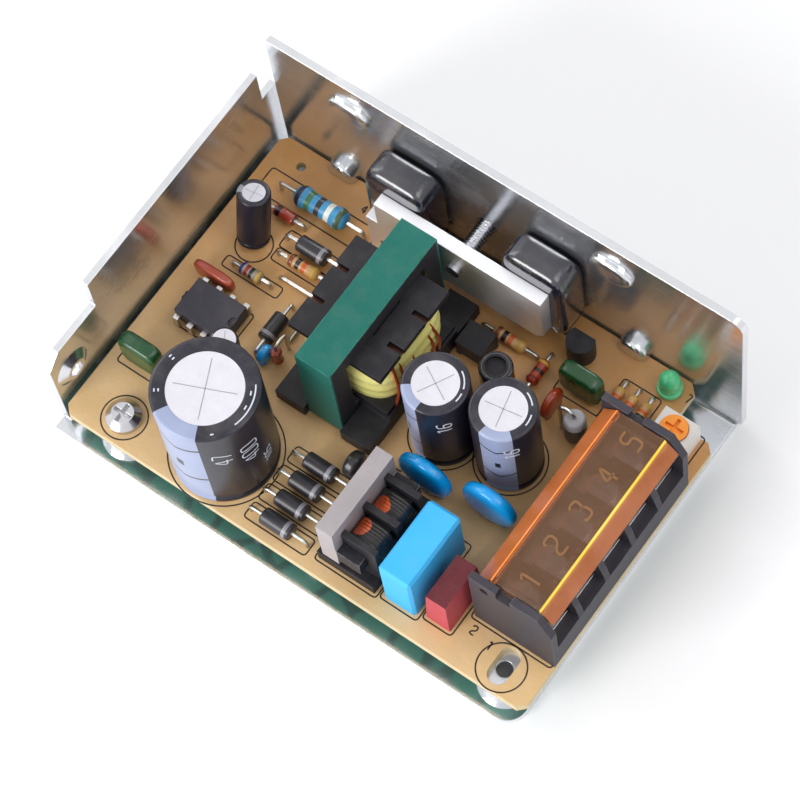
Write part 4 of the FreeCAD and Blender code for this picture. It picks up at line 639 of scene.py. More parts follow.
def finishes():
    """Every finish by a plain name."""
    black = (34, 33, 38)
    barrel = (40, 38, 44)
    mark = (138, 136, 144)
    gold = (190, 150, 60)
    return {
        "sheet": sheet_finish("bare sheet", (222, 224, 228), 0.15, 0.24, 0.22),
        "bar": sheet_finish("bar metal", (232, 232, 236), 0.42, 0.2),
        "board": board_finish(),
        "steel": plain("bright steel", (206, 206, 210), 0.24, 1.0, Wear=0.5, Worn=(240, 240, 242),
                       Variation=0.1, Height=0.00001),
        "tin": plain("tinned wire", (200, 198, 194), 0.3, 1.0, Variation=0.12, Height=0.00001),
        "solder": plain("solder", (190, 192, 196), 0.28, 1.0, Variation=0.2, Patches=300.0),
        "disc": plain("can top", (212, 210, 217), 0.55, 0.25, Variation=0.06, Patches=500.0,
                      Height=0.00003),
        "score": plain("score shade", (158, 156, 165), 0.6, Variation=0.2, Patches=900.0),
        "rubber": plain("black rubber", (26, 26, 38), 0.2, coat=1.0, shine=0.6, Wear=0.8,
                        Worn=(186, 190, 206), Height=0.00005),
        "moulding": plain("black moulding", black, 0.48, shine=0.3, Wear=0.45, Worn=(96, 94, 104)),
        "chip": plain("chip moulding", (60, 58, 66), 0.55, shine=0.3, Wear=0.4,
                      Worn=(120, 118, 126), Height=0.00006),
        "ferrite": plain("ferrite", (44, 42, 46), 0.6, shine=0.25, Variation=0.2, Wear=0.3,
                         Height=0.00008),
        "pale ferrite": zoned("pale ferrite", (164, 157, 159), (34, 33, 40), "choke_core", 2.95,
                              Variation=0.14, Height=0.00006, Worn=(222, 218, 230), Wear=0.6),
        "green tape": plain("green tape", (27, 102, 91), 0.5, shine=0.25, Variation=0.14,
                            Worn=(120, 190, 178), Wear=0.7, Height=0.00006),
        # painted light and shade: the tape's top is painted dark brown and its sides pale yellow,
        # for how the light falls
        "yellow tape": topped("yellow tape", (84, 46, 28), (250, 242, 150), 0.36, 0.2,
                              Variation=0.2, Height=0.00005),
        "copper": plain("enamelled copper", (214, 96, 56), 0.3, 0.7, coat=0.3, Variation=0.25,
                        Patches=500.0),
        "coil": window_finish(),
        "x case": plain("blue case", (62, 178, 238), 0.5, shine=0.25, Variation=0.06, Wear=0.5,
                        Worn=(160, 220, 250)),
        # painted light and shade: the red case's top is darker and its sides paler, for how the
        # lamp falls on them
        "fuse case": topped("red case", (108, 44, 50), (190, 78, 88), Variation=0.2, Wear=0.5,
                            Height=0.0001, Worn=(214, 110, 112)),
        "blue dip": plain("blue dip", (24, 158, 230), 0.26, coat=0.5, Variation=0.12,
                          Height=0.00004),
        "green dip": plain("green dip", (22, 76, 38), 0.28, coat=0.4, Variation=0.16,
                           Height=0.00006),
        "red dip": plain("red brown dip", (156, 58, 30), 0.3, coat=0.5, Variation=0.2,
                         Height=0.00006),
        "black dip": plain("black dip", (38, 36, 40), 0.35, coat=0.4, Variation=0.2,
                           Height=0.00006),
        "lens": lens_finish(),
        "white": plain("white moulding", (226, 222, 216), 0.42, Variation=0.06, Wear=0.2),
        "orange": plain("orange moulding", (255, 156, 48), 0.4, Variation=0.1, Wear=0.4,
                        Worn=(255, 214, 150)),
        "housing": plain("grey moulding", (56, 53, 60), 0.5, Variation=0.1, Wear=0.7,
                         Worn=(140, 134, 156), Height=0.00006),
        "amber": cover_finish(),
        "digit": plain("amber digit", (206, 152, 84), 0.4, coat=0.2),
        "ink": plain("black ink", (38, 30, 26), 0.6, Variation=0.3, Patches=600.0),
        "white ink": plain("white ink", (214, 218, 228), 0.5, Variation=0.12, Patches=600.0),
        "tan": ringed("tan resistor", banded((196, 150, 96), [
            (0.2, (120, 60, 30)), (0.38, (30, 30, 30)), (0.54, (200, 90, 30)), (0.8, gold)])),
        "grey bead": ringed("grey resistor", banded((150, 140, 120), [
            (0.2, (40, 40, 120)), (0.38, (150, 40, 40)), (0.54, (30, 30, 30)), (0.8, gold)])),
        "red bead": ringed("red resistor", banded((170, 62, 34), [
            (0.24, (120, 30, 20)), (0.5, (60, 30, 30)), (0.78, (200, 150, 60))])),
        "blue bead": ringed("blue resistor", banded((58, 142, 190), [
            (0.17, (40, 40, 60)), (0.33, (60, 110, 70)), (0.49, (40, 40, 50)),
            (0.65, (220, 220, 210)), (0.83, (70, 90, 60))], 0.04)),
        "diode": ringed("diode", [(0.0, barrel), (0.69, mark), (0.78, barrel)]),
        "diode back": ringed("diode turned", [(0.0, barrel), (0.22, mark), (0.31, barrel)]),
        "glass": ringed("red glass", [(0.0, (150, 46, 36)), (0.2, (30, 24, 26)),
                                      (0.36, (170, 60, 40)), (0.82, (120, 40, 34))], 0.12, 0.8),
        "grey top": ringed("grey topped", [(0.0, barrel), (0.7, (168, 164, 168))]),
        "bulk sleeve": sleeve_finish("bulk sleeve", 0.747, 0.078),
        "front sleeve": sleeve_finish("front sleeve", 0.675, 0.075),
        "rear sleeve": sleeve_finish("rear sleeve", 0.806, 0.082),
        "small sleeve": sleeve_finish("small sleeve", 0.55, 0.05, 0.4, (150, 150, 162)),
    }


FINISH = finishes()

DRESSED = {
    "sheet": ["chassis"],
    "board": ["circuit_board"],
    "bar": ["clamp_bar"],
    "steel": ["board_screw", "clamp_screw", "terminal_plates", "terminal_contacts",
              "terminal_screws"],
    "rubber": ["transistor_sleeve", "rectifier_sleeve"],
    "moulding": ["power_transistor", "power_rectifier", "transformer_bobbin", "optocoupler",
                 "choke_bobbin", "reference_transistor"],
    "ferrite": ["transformer_core_upper", "transformer_core_lower", "output_choke_core"],
    "green tape": ["transformer_tape"],
    "tin": ["transformer_pins", "controller_chip_legs"],
    "copper": ["output_choke_winding"],
    "chip": ["controller_chip"],
    "pale ferrite": ["choke_core"],
    "x case": ["x_capacitor"],
    "fuse case": ["fuse"],
    "white": ["trimmer_body"],
    "orange": ["trimmer_rotor"],
    "housing": ["terminal_housing"],
    "amber": ["terminal_cover"],
}


def dress_nodes():
    """Give each shown CAD node its finish."""
    for finish, nodes in DRESSED.items():
        for node in nodes:
            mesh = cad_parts[node].data
            mesh.materials.clear()
            mesh.materials.append(FINISH[finish])


# cans

CANS = {
    "bulk_capacitor": dict(disc=5.65, sleeve="bulk sleeve", lines=(23, 115), foot=0.45),
    "output_capacitor_front": dict(disc=3.45, sleeve="front sleeve", lines=(61, 151), foot=0.45),
    "output_capacitor_rear": dict(disc=3.45, sleeve="rear sleeve", lines=(9, 103), foot=0.45),
    "small_capacitor": dict(disc=1.75, sleeve="small sleeve", lines=(120,), foot=0.3),
    "supply_capacitor": dict(disc=1.7, sleeve="small sleeve", lines=(10, 100), foot=0.3),
}
SUPPLY_AT = (6.9, 38.2, 0.8)
SUPPLY_LEAN = 12.0
SUPPLY_RADIUS = 2.6
SUPPLY_HEIGHT = 11.2
RING_MARKS = (  # node, radius and the turns from and to which a dash runs
    ("bulk_capacitor", 7.2, ((38, -17), (168, 172), (-146, -142), (-47, -43))),
    ("bulk_capacitor", 6.6, ((30, 24), (10, 4), (168, 172), (-146, -142))),
    ("output_capacitor_front", 4.1, ((60, 20), (10, -10))),
    ("output_capacitor_rear", 4.1, ((70, 40), (20, -5))),
)
CAN_TEXT = (  # node, number, its height, turn round the can and height up it
    ("bulk_capacitor", "47", 2.8, -42, 15.5), ("bulk_capacitor", "400", 2.8, -12, 14.0),
    ("bulk_capacitor", "105", 1.6, 8, 8.0), ("bulk_capacitor", "47", 2.8, 120, 15.5),
    ("bulk_capacitor", "400", 2.8, 150, 14.0),
    ("output_capacitor_front", "16", 2.2, -44, 14.0),
    ("output_capacitor_front", "16", 2.2, 136, 14.0),
    ("output_capacitor_rear", "16", 2.2, -44, 14.0),
    ("output_capacitor_rear", "16", 2.2, 136, 14.0),
)
CAN_ROUND = 96
DISH = 0.08
DISC_BELOW = 0.1
DISC_TUCK = 0.04
DISC_RIM = 0.35
INK_OFF = 0.02
MARK_SUNK = 0.04
SCORE_WIDTH = 0.12


def can_top(radius, height):
    """Bare top, dished by D (1 - (r / R)^2), with a rim that runs down inside the sleeve."""
    r = np.linspace(radius, 0.05, 16)
    profile = np.stack([r, height - DISH * (1 - (r / radius) ** 2)], -1)
    return lathe(np.concatenate([[(radius, height - DISC_RIM)], profile]), CAN_ROUND)


def score(radius, height, line):
    """Shade of one score: a strip through the middle that follows the dish."""
    share = np.linspace(-0.84, 0.84, 40)
    angle = math.radians(line)
    path = np.stack([radius * share * math.cos(angle), radius * share * math.sin(angle),
                     height - DISH * (1 - share ** 2)], -1)
    return ribbon(path, SCORE_WIDTH * min(1.0, radius / 3.0), INK_HEIGHT)


def can_profile(radius, height, disc, foot):
    """Outside line of a sleeved can: rolled foot, crimp, wall, shoulder and down to the disc."""
    return eased([
        (radius - 0.5, 0), (radius - 0.08, 0), (radius, foot * 2), (radius - foot, foot * 3.4),
        (radius, foot * 4.8), (radius, height - 0.25), (radius - 0.3, height),
        (disc + 0.2, height - 0.04), (disc, height - 0.1), (disc, height - 0.3)], 0.3, 5)


def cans():
    """The five sleeved cans."""
    for node, make in CANS.items():
        surface = Surface()
        if node == "supply_capacitor":
            radius, height, centre = SUPPLY_RADIUS, SUPPLY_HEIGHT, on_board(*SUPPLY_AT)
        else:
            low, high = box(node)
            radius, height = (high - low)[0] / 2, high[2] - low[2]
            centre = over(low, high, low[2])
        wall = lathe(can_profile(radius, height, make["disc"], make["foot"]), CAN_ROUND)
        top = can_top(make["disc"] + DISC_TUCK, height - DISC_BELOW)
        lean = math.radians(SUPPLY_LEAN if node == "supply_capacitor" else 0)
        turned = np.array([[1, 0, 0], [0, math.cos(lean), math.sin(lean)],
                           [0, -math.sin(lean), math.cos(lean)]])
        surface.grid(wall @ turned.T + centre, 0)
        surface.grid(top @ turned.T + centre, 1)
        for line in make["lines"]:
            surface.grid(score(make["disc"], height - DISC_BELOW, line) @ turned.T + centre, 3)
        for side in (-1, 1):
            across = side * radius / 2
            foot = np.array([[across, 0, 0.3], [across, 0, -1.2]]) @ turned.T + centre
            path = np.concatenate([foot, [[foot[1, 0], foot[1, 1] - 0.1, ORIGIN[2] - LEAD_BELOW]]])
            surface.grid(tube(eased(path, 0.4), LEAD, (1.0, 0, 0)), 2)
            FEET.append(path[-1, :2])
        surface.write(node + "_can", "base", "can_sleeve",
                      [make["sleeve"], "disc", "tin", "score"], [node])


def can_print():
    """Plain numbers wrapped round the cans' sleeves, and dashes on their rolled tops."""
    surface = Surface()
    for node, text, size, turn, up in CAN_TEXT:
        low, high = box(node)
        radius = (high - low)[0] / 2 + INK_OFF
        write_text(surface, text, size, wrapped(over(low, high, low[2]), radius, turn, up))
    for node, out, spans in RING_MARKS:
        low, high = box(node)
        for first, last in spans:
            turn = np.radians(np.linspace(first, last, 24))
            path = arc(over(low, high, high[2] - MARK_SUNK), out, turn)
            surface.grid(ribbon(path, height=0.05), 0)
    surface.write("can_print", "base", "can_sleeve", ["white ink"])


# axial parts

AXIALS = {
    "snubber_resistor": dict(length=9.6, finish="blue bead", shape="bead", slot="blue_resistor"),
    "glass_diode": dict(length=3.7, finish="glass", shape="barrel", slot="red_glass"),
    "snubber_diode": dict(length=5.2, finish="diode", shape="barrel", slot="black_barrel"),
    "startup_resistor": dict(length=5.8, finish="tan", shape="bead", slot="tan_resistor"),
    "bobbin_diode": dict(length=4.6, finish="diode back", shape="barrel", slot="black_barrel"),
    "sense_resistor": dict(length=4.0, finish="grey bead", shape="bead", slot="tan_resistor"),
    "bleed_resistor": dict(length=5.8, finish="tan", shape="bead", slot="tan_resistor"),
    "damping_resistor": dict(length=4.4, finish="red bead", shape="bead", slot="red_brown_dip"),
    "bridge_diodes": dict(length=5.2, finish="diode", shape="barrel", slot="black_barrel",
                          row=(4, 1.35, 1)),
    "feedback_resistors": dict(length=3.9, finish="tan", shape="bead", slot="tan_resistor",
                               row=(3, 0.9, 0)),
}
BODY_EASE = {"barrel": (0.3, 6), "dome": (1.3, 8)}
JUMPER_SPAN = 6.6
SHORT_JUMPER_SPAN = 2.2


def turned_body(length, radius, shape):
    """Line of a turned body: a barrel or dome with eased rims, or a bead.

    A bead's is R (0.84 + 0.16 exp(-((|s| - 0.7) / 0.17)^2)) (1 - |s|^12)^0.5, s from -1 to 1.
    """
    half = length / 2
    if shape in BODY_EASE:
        corners = [(LEAD, -half), (radius, -half), (radius, half), (LEAD, half)]
        return eased(corners, *BODY_EASE[shape])
    s = np.linspace(-0.998, 0.998, 41)
    swell = 0.84 + 0.16 * np.exp(-((np.abs(s) - 0.7) / 0.17) ** 2)
    return np.stack([radius * swell * np.sqrt(1 - np.abs(s) ** 12), s * half], -1)


def hoop(start, way, span, up):
    """Corners of a wire up through the board, over and down, with its feet kept for the solder."""
    end = start + way * span
    FEET.extend([start[:2], end[:2]])
    return [start - RISE * LEAD_BELOW, start + RISE * up, end + RISE * up, end - RISE * LEAD_BELOW]


def lay_axial(surface, start, span, up, radius, axis, length=0.0, shape=""):
    """A lead up, over and down, with its turned body in the middle."""
    way = WAYS[axis]
    wire_path = eased(hoop(start, way, span, up), LEAD_BEND, 7)
    surface.grid(tube(wire_path, LEAD, np.cross(RISE, way)), 0)
    if length:
        middle = start + way * span / 2 + RISE * up
        surface.grid(laid(lathe(turned_body(length, radius, shape), 32), axis) + middle, 1)


def seat_of(low, high):
    """Start, span, height, radius and way of the axial part that a box holds."""
    size = high - low
    axis = "x" if size[0] > size[1] else "y"
    run, cross = (0, 1) if axis == "x" else (1, 0)
    radius = size[cross] / 2
    start = np.array([0, 0, ORIGIN[2]])
    start[run] = low[run] + LEAD
    start[cross] = (low[cross] + high[cross]) / 2
    return start, size[run] - 2 * LEAD, high[2] - radius - ORIGIN[2], radius, axis


def boxes_of(node, count=1, radius=0.0, cross=0):
    """A node's box, or those of its equal parts, side by side across it."""
    low, high = box(node)
    if count == 1:
        return [(low, high)]
    step = (high[cross] - low[cross] - 2 * radius) / (count - 1)
    boxes = []
    for place in range(count):
        first, last = low.copy(), high.copy()
        first[cross] = low[cross] + place * step
        last[cross] = first[cross] + 2 * radius
        boxes.append((first, last))
    return boxes


def axials():
    """The lying diodes and resistors."""
    for node, make in AXIALS.items():
        surface = Surface()
        for low, high in boxes_of(node, *make.get("row", ())):
            lay_axial(surface, *seat_of(low, high), make["length"], make["shape"])
        surface.write(node + "_part", "base", make["slot"], ["tin", make["finish"]], [node])


def jumpers():
    """A long jumper across the board and a short one along it."""
    low, high = box("jumper_wires")
    surface = Surface()
    up = high[2] - LEAD - ORIGIN[2]
    long_start = np.array([low[0] + LEAD, high[1] - LEAD, ORIGIN[2]])
    lay_axial(surface, long_start, JUMPER_SPAN, up, 0, "x")
    short_start = np.array([high[0] - LEAD, low[1] + LEAD, ORIGIN[2]])
    lay_axial(surface, short_start, SHORT_JUMPER_SPAN, up, 0, "y")
    surface.write("jumper_wires_bent", "base", "bright_steel", ["tin"], ["jumper_wires"])


# standing parts

UPRIGHTS = {
    "upright_resistor": dict(at=(22.15, 24.0), radius=0.9, length=3.6, way=WAYS["y"], shape="bead",
                             finish="red dip", slot="red_brown_dip"),
    "upright_diode": dict(at=(65.4, 38.6), radius=1.75, length=6.4, way=(-1.0, 0, 0), shape="dome",
                          finish="grey top", slot="black_barrel"),
}
UPRIGHT_FOOT = 0.6
UPRIGHT_REACH = 2.54
UPRIGHT_HAIRPIN = 1.2
UPRIGHT_BEND = 1.1
LEG_COAT = 0.75
DISC_POWER = 0.62
Y_RADIUS = 4.5
Y_THICKNESS = 2.6
STANDOFF = 0.5
DISCS = {
    "ceramic_capacitor": dict(radius=2.5, spread=1.27, finish="red dip", slot="red_brown_dip"),
    "small_disc_capacitor": dict(radius=1.5, spread=0.76, finish="blue dip", slot="blue_dip"),
    "thermistor": dict(radius=2.1, spread=1.27, finish="black dip", slot="black_barrel"),
}
BLOCKS = {
    "film_capacitor_front": dict(square=0.42, finish="green dip", slot="green_dip"),
    "film_capacitor_rear": dict(square=0.42, finish="green dip", slot="green_dip"),
    "dipped_capacitor": dict(square=0.5, finish="red dip", slot="red_brown_dip"),
}
LAMP_RADIUS = 1.6
LAMP_FOOT = 0.4


def uprights():
    """Bodies on end, one lead bent over like a hairpin."""
    for node, make in UPRIGHTS.items():
        surface = Surface()
        start = on_board(*make["at"])
        way = np.array(make["way"])
        corners = hoop(start, way, UPRIGHT_REACH, UPRIGHT_FOOT + make["length"] + UPRIGHT_HAIRPIN)
        surface.grid(tube(eased(corners, UPRIGHT_BEND, 9), LEAD, np.cross(RISE, way)), 0)
        body = turned_body(make["length"], make["radius"], make["shape"])
        surface.grid(lathe(body, 32) + start + RISE * (UPRIGHT_FOOT + make["length"] / 2), 1)
        surface.write(node + "_part", "base", make["slot"], ["tin", make["finish"]], [node])


def dipped_legs(surface, centre, spread, axis, drop):
    """Two leads under a dipped body, its coating running down each in a taper."""
    for side in (-1, 1):
        top = centre + WAYS[axis] * side * spread
        foot = np.array([top[0], top[1], ORIGIN[2] - LEAD_BELOW])
        path = top + (foot - top) * np.linspace(0, 1, 10)[:, None]
        surface.grid(tube(path, LEAD, WAYS["y"]), 0)
        taper = top - RISE * np.linspace(0, drop, 8)[:, None]
        surface.grid(tube(taper, np.linspace(LEG_COAT, LEAD + 0.05, 8), WAYS["y"]), 1)
        FEET.append(foot[:2])


def dipped_disc(surface, centre, radius, thickness, axis):
    """Disc on edge with full rims: r = R (sin t)^k and offset = T/2 (cos t)^k, t from 0 to pi."""
    t = np.linspace(0.02, math.pi - 0.02, 27)
    profile = np.stack([radius * power(np.sin(t), DISC_POWER),
                        -thickness / 2 * power(np.cos(t), DISC_POWER)], -1)
    surface.grid(laid(lathe(profile, 56), axis) + centre, 1)


def discs():
    """The blue pair behind the choke, and the small discs."""
    low, high = box("y_capacitors")
    surface = Surface()
    for end, across in ((low, 1), (high, -1)):
        centre = np.array([end[0] + across * Y_RADIUS, end[1] + across * Y_THICKNESS / 2,
                           high[2] - Y_RADIUS])
        dipped_disc(surface, centre, Y_RADIUS, Y_THICKNESS, "y")
        dipped_legs(surface, centre - RISE * Y_RADIUS * 0.75, 2.5, "x", 1.9)
    surface.write("y_capacitors_dipped", "base", "blue_dip", ["tin", "blue dip"],
                  ["y_capacitors"])
    for node, make in DISCS.items():
        low, high = box(node)
        surface = Surface()
        centre = over(low, high, high[2] - make["radius"])
        dipped_disc(surface, centre, make["radius"], high[0] - low[0], "x")
        dipped_legs(surface, centre - RISE * make["radius"] * 0.7, make["spread"], "y", 1.3)
        surface.write(node + "_dipped", "base", make["slot"], ["tin", make["finish"]], [node])


def dipped_blocks():
    """Film capacitors and the small dipped one: pillows with two coated legs."""
    for node, make in BLOCKS.items():
        low, high = box(node)
        surface = Surface()
        body_low = np.array([low[0], low[1], ORIGIN[2] + STANDOFF])
        surface.grid(pillow(body_low, high, make["square"]), 1)
        dipped_legs(surface, over(low, high, ORIGIN[2] + 1.4), 0.3 * (high[0] - low[0]), "x", 1.0)
        surface.write(node + "_dipped", "base", make["slot"], ["tin", make["finish"]], [node])


def lamp():
    """Indicator lamp: rim, barrel and a dome of r cos t, r sin t."""
    low, high = box("indicator_led")
    radius = LAMP_RADIUS
    rim = (high - low)[0] / 2
    foot = ORIGIN[2] + LAMP_FOOT
    t = np.linspace(0, 1.52, 12)
    dome = np.stack([radius * np.cos(t), high[2] - radius + radius * np.sin(t)], -1)
    skirt = eased([(rim - 0.2, foot), (rim, foot + 0.1), (rim, foot + 0.9), (radius, foot + 0.92),
                   (radius, high[2] - radius - 0.1)], 0.15, 4)
    centre = over(low, high, 0)
    surface = Surface()
    surface.grid(lathe(np.concatenate([skirt, dome]), 40) + centre, 1)
    dipped_legs(surface, centre + RISE * (foot + 0.1), 1.27, "x", 0.3)
    surface.write("indicator_led_lens", "base", "green_lens", ["tin", "lens"],
                  ["indicator_led"])


# wound parts

TAPE_LAYERS = 4
WIRE_SHIFTS = (-5.2, -3.9, -1.4, 2.2, 3.4)
WIRE_RADIUS = 0.28
CHOKE_TURNS = 7
CHOKE_WIRE = 0.36


def transformer_winding():
    """Taped winding: rounded rings (cos u)^0.6, (sin u)^0.6 that swell 5 percent at mid height.

    A wave of 0.8 percent stands for the edges of the tape.
    """
    low, high = box("transformer_winding")
    half = (high - low) / 2
    middle = (low + high) / 2
    v = np.linspace(0, 1, 40)[:, None]
    u = circle(96)[None, :]
    swell = 0.95 + 0.05 * np.sin(np.pi * v) + 0.008 * np.sin(2 * np.pi * TAPE_LAYERS * v + 2 * u)
    points = np.stack([middle[0] + half[0] * swell * power(np.cos(u), 0.6),
                       middle[1] + half[1] * swell * power(np.sin(u), 0.6),
                       low[2] + v * (high[2] - low[2]) * np.ones_like(u)], -1)
    surface = Surface()
    surface.grid(points, 0)
    surface.write("transformer_winding_tape", "base", "yellow_tape", ["yellow tape"],
                  ["transformer_winding"])


def transformer_wires():
    """The winding's ends, bowed out and down from its top to the pins."""
    low, high = box("transformer_winding")
    middle = (low + high) / 2
    surface = Surface()
    for shift in WIRE_SHIFTS:
        top = np.array([high[0] - 0.7, middle[1] + shift, high[2] - 0.6])
        foot = np.array([high[0] - 1.0, middle[1] + shift * 1.3, ORIGIN[2] + 1.4])
        bow = top * 0.5 + foot * 0.5 + np.array([1.0, 0.5, 0.6])
        path = eased([top - np.array([1.4, 0, 0]), top, bow, foot], 2.0, 8)
        surface.grid(tube(path, WIRE_RADIUS, WAYS["y"]), 0)
    surface.write("transformer_wires", "base", "copper_wire", ["copper"])


def choke_windings():
    """Each coil a square helix: (a (cos t)^s, c (sin t)^s) round the leg, y growing with t."""
    low, high = box("choke_windings")
    surface = Surface()
    half = (high - low) / 2 - CHOKE_WIRE
    middle = (low + high) / 2
    width = (high[1] - low[1] - 1.0) / 2
    for start in (low[1], high[1] - width):
        t = np.linspace(0, 2 * np.pi * CHOKE_TURNS, CHOKE_TURNS * 36)
        along = start + CHOKE_WIRE + (width - 2 * CHOKE_WIRE) * t / t[-1]
        path = np.stack([middle[0] + half[0] * power(np.cos(t), 0.55), along,
                         middle[2] + half[2] * power(np.sin(t), 0.55)], -1)
        surface.grid(tube(path, CHOKE_WIRE, WAYS["y"], 8), 0)
    surface.write("choke_coils", "base", "copper_wire", ["coil"], ["choke_windings"])


def inductor_sleeve():
    """Shrunk sleeve over the spool, drawn in at its rims."""
    low, high = box("output_choke_sleeve")
    radius = (high - low)[0] / 2
    profile = eased([(radius - 0.3, low[2] + 0.02), (radius, low[2] + 0.4), (radius, high[2] - 0.4),
                     (radius - 0.5, high[2] + 0.04), (radius - 0.75, high[2] - 0.02),
                     (radius - 0.4, high[2] - 0.6), (radius - 0.3, low[2] + 0.02)], 0.3, 5)
    surface = Surface()
    surface.grid(lathe(profile, 48) + over(low, high, 0), 0, looped=True)
    surface.write("output_choke_shrink", "base", "black_moulding", ["rubber"],
                  ["output_choke_sleeve"])


# on the wall

POWER_SLEEVES = ("transistor_sleeve", "rectifier_sleeve")
WALL_INNER = 55.3
PRESSED = (  # middle across and up on the board, half its width, rise, reach, and how far it hangs
    (11.5, 0.0, 2.65, 2.85, 1.85, 0.0), (64.5, 0.0, 2.65, 2.85, 1.85, 0.0),
    (15.0, 22.0, 3.6, 2.6, 1.1, 1.0), (61.0, 22.0, 3.6, 2.6, 1.1, 1.0),
)
SHELL = 0.93
SHELL_SUNK = 0.05
THREAD_PITCH = 0.5
THREAD_CORE = 1.22
THREAD_DEPTH = 0.25


def power_sleeves():
    """Soft sleeves over the two power parts on the wall."""
    for node in POWER_SLEEVES:
        low, high = box(node)
        surface = Surface()
        surface.grid(pillow(low, high, 0.3, 48, 72, 0.42), 0)
        surface.write(node + "_soft", "base", "black_rubber", ["rubber"], [node])


def pressed_bumps():
    """Drawn bumps of the wall, as shells.

    A ring is (a cos u, c max(sin u, -hang)) (cos t)^0.5, and (sin t)^0.5 of the reach off the wall.
    The shell's inside is the same at 0.93 of the size.
    """
    wall = on_board(0, WALL_INNER)[1]
    surface = Surface()
    for across, up, half, rise, reach, hang in PRESSED:
        middle = on_board(across, 0, up)
        t = np.linspace(0, 1.5707, 24)
        off = np.concatenate([[-SHELL_SUNK], np.sqrt(np.sin(t))])
        rim = np.concatenate([[1.0], np.sqrt(np.cos(t))])
        off = np.concatenate([off, SHELL * off[::-1]])[:, None]
        rim = np.concatenate([rim, SHELL * rim[::-1]])[:, None]
        u = circle(64)[None, :]
        surface.grid(np.stack([
            middle[0] + half * np.cos(u) * rim, wall - reach * off * np.ones_like(u),
            middle[2] + 0.01 + rise * np.maximum(np.sin(u), -hang) * rim], -1), 0, looped=True)
    surface.write("pressed_bumps", "base", "bare_sheet", ["sheet"])


def screw_thread():
    """Thread of the clamp screw: core and depth of a ramp that climbs with place and turn."""
    low, high = box("clamp_screw")
    bar = box("clamp_bar")[1][1]
    wall = box("transistor_sleeve")[1][1]
    y = np.linspace(bar - 0.3, wall + 0.3, 90)[:, None]
    turn = circle(32)[None, :]
    phase = (y / THREAD_PITCH - turn / (2 * np.pi)) % 1.0
    radius = THREAD_CORE + THREAD_DEPTH * (1 - np.abs(2 * phase - 1))
    middle = (low + high) / 2
    surface = Surface()
    surface.grid(np.stack([middle[0] + radius * np.sin(turn), y * np.ones_like(turn),
                           middle[2] + radius * np.cos(turn)], -1), 0)
    surface.write("clamp_screw_thread", "base", "bright_steel", ["steel"])


# print on the board: rings by middle and radius, frames by left, front, right and back

RINGS = ((8.4, 4.1, 3.55), (76.75, 3.64, 3.7), (24.2, 8.3, 8.7), (49.4, 28.2, 5.5),
         (59.6, 30.3, 5.5), (7.46, 37.4, 2.9), (17.3, 19.2, 2.5), (52.2, 38.0, 3.0))
FRAMES = ((56.1, 2.5, 62.7, 16.3), (63.0, 3.4, 68.1, 12.8), (68.7, 7.4, 82.6, 42.0),
          (5.0, 20.4, 14.6, 28.0), (44.8, 2.0, 55.8, 18.5), (5.2, 32.0, 15.6, 34.0),
          (66.0, 42.6, 72.6, 50.2), (2.0, 45.0, 22.0, 49.5), (1.7, 10.8, 9.7, 14.7),
          (58.2, 42.9, 66.2, 46.8), (74.2, 42.9, 81.2, 48.7))
DOUBLE_FRAMES = ((32.4, 1.5, 43.5, 4.3), (32.4, 5.0, 43.5, 7.8), (32.4, 8.5, 43.5, 11.3),
                 (32.4, 12.0, 43.5, 14.8), (10.6, 39.3, 22.0, 42.5), (10.8, 36.9, 22.0, 39.2))
LABELS = (("1", 73.5, 5.4), ("2", 70.3, 6.0), ("3", 47.0, 20.6), ("4", 17.8, 51.4),
          ("5", 23.9, 51.6), ("6", 56.6, 51.6), ("7", 75.6, 52.6), ("8", 4.0, 25.0),
          ("9", 27.5, 40.0))
LABEL_HEIGHT = 1.4


def outline_path(left, front, right, back):
    """Closed rounded path round a rectangle on the board."""
    corners = [on_board(*spot) for spot in (
        ((left + right) / 2, front), (right, front), (right, back), (left, back), (left, front),
        ((left + right) / 2, front))]
    return eased(corners, 0.6, 5)


def board_print():
    """Outlines, rings and plain numbers printed on the board's top."""
    surface = Surface()
    for across, along, radius in RINGS:
        turn = np.linspace(0, 2 * np.pi, 73)
        surface.grid(ribbon(arc(on_board(across, along), radius, turn)), 0)
    for frame_corners in FRAMES + DOUBLE_FRAMES:
        surface.grid(ribbon(outline_path(*frame_corners)), 0)
    for text, across, along in LABELS:
        write_text(surface, text, LABEL_HEIGHT, lambda points: points + on_board(across, along))
    surface.write("board_print", "base", "board", ["ink"])


RING_UP = 6.4
RING_RADIUS = 0.8
CHEVRON_UP = 3.0
MARK = 0.09


def sleeve_print():
    """Rings and chevrons on the two power parts' sleeves."""
    surface = Surface()
    for node in POWER_SLEEVES:
        low, high = box(node)
        front = low[1] - 0.02
        width = high[0] - low[0]
        t = np.linspace(0, 2 * np.pi, 40)
        for share in (0.3, 0.7):
            ring = np.stack([low[0] + share * width + RING_RADIUS * np.cos(t),
                             np.full_like(t, front),
                             low[2] + RING_UP + RING_RADIUS * np.sin(t)], -1)
            surface.grid(tube(ring, MARK, WAYS["y"], 6), 0)
        for step in range(4):
            at = low[0] + (0.16 + 0.2 * step) * width
            foot = low[2] + CHEVRON_UP
            mark = eased([[at, front, foot], [at + 0.7, front, foot + 0.8],
                          [at + 1.4, front, foot]], 0.1)
            surface.grid(tube(mark, MARK, WAYS["y"], 6), 0)
    surface.write("sleeve_marks", "base", "black_rubber", ["white ink"])


DIGIT_AT = (76.3, 12.6)
DIGIT_PITCH = 6.2
DIGIT_HEIGHT = 3.2
DIGIT_BELOW = 1.15


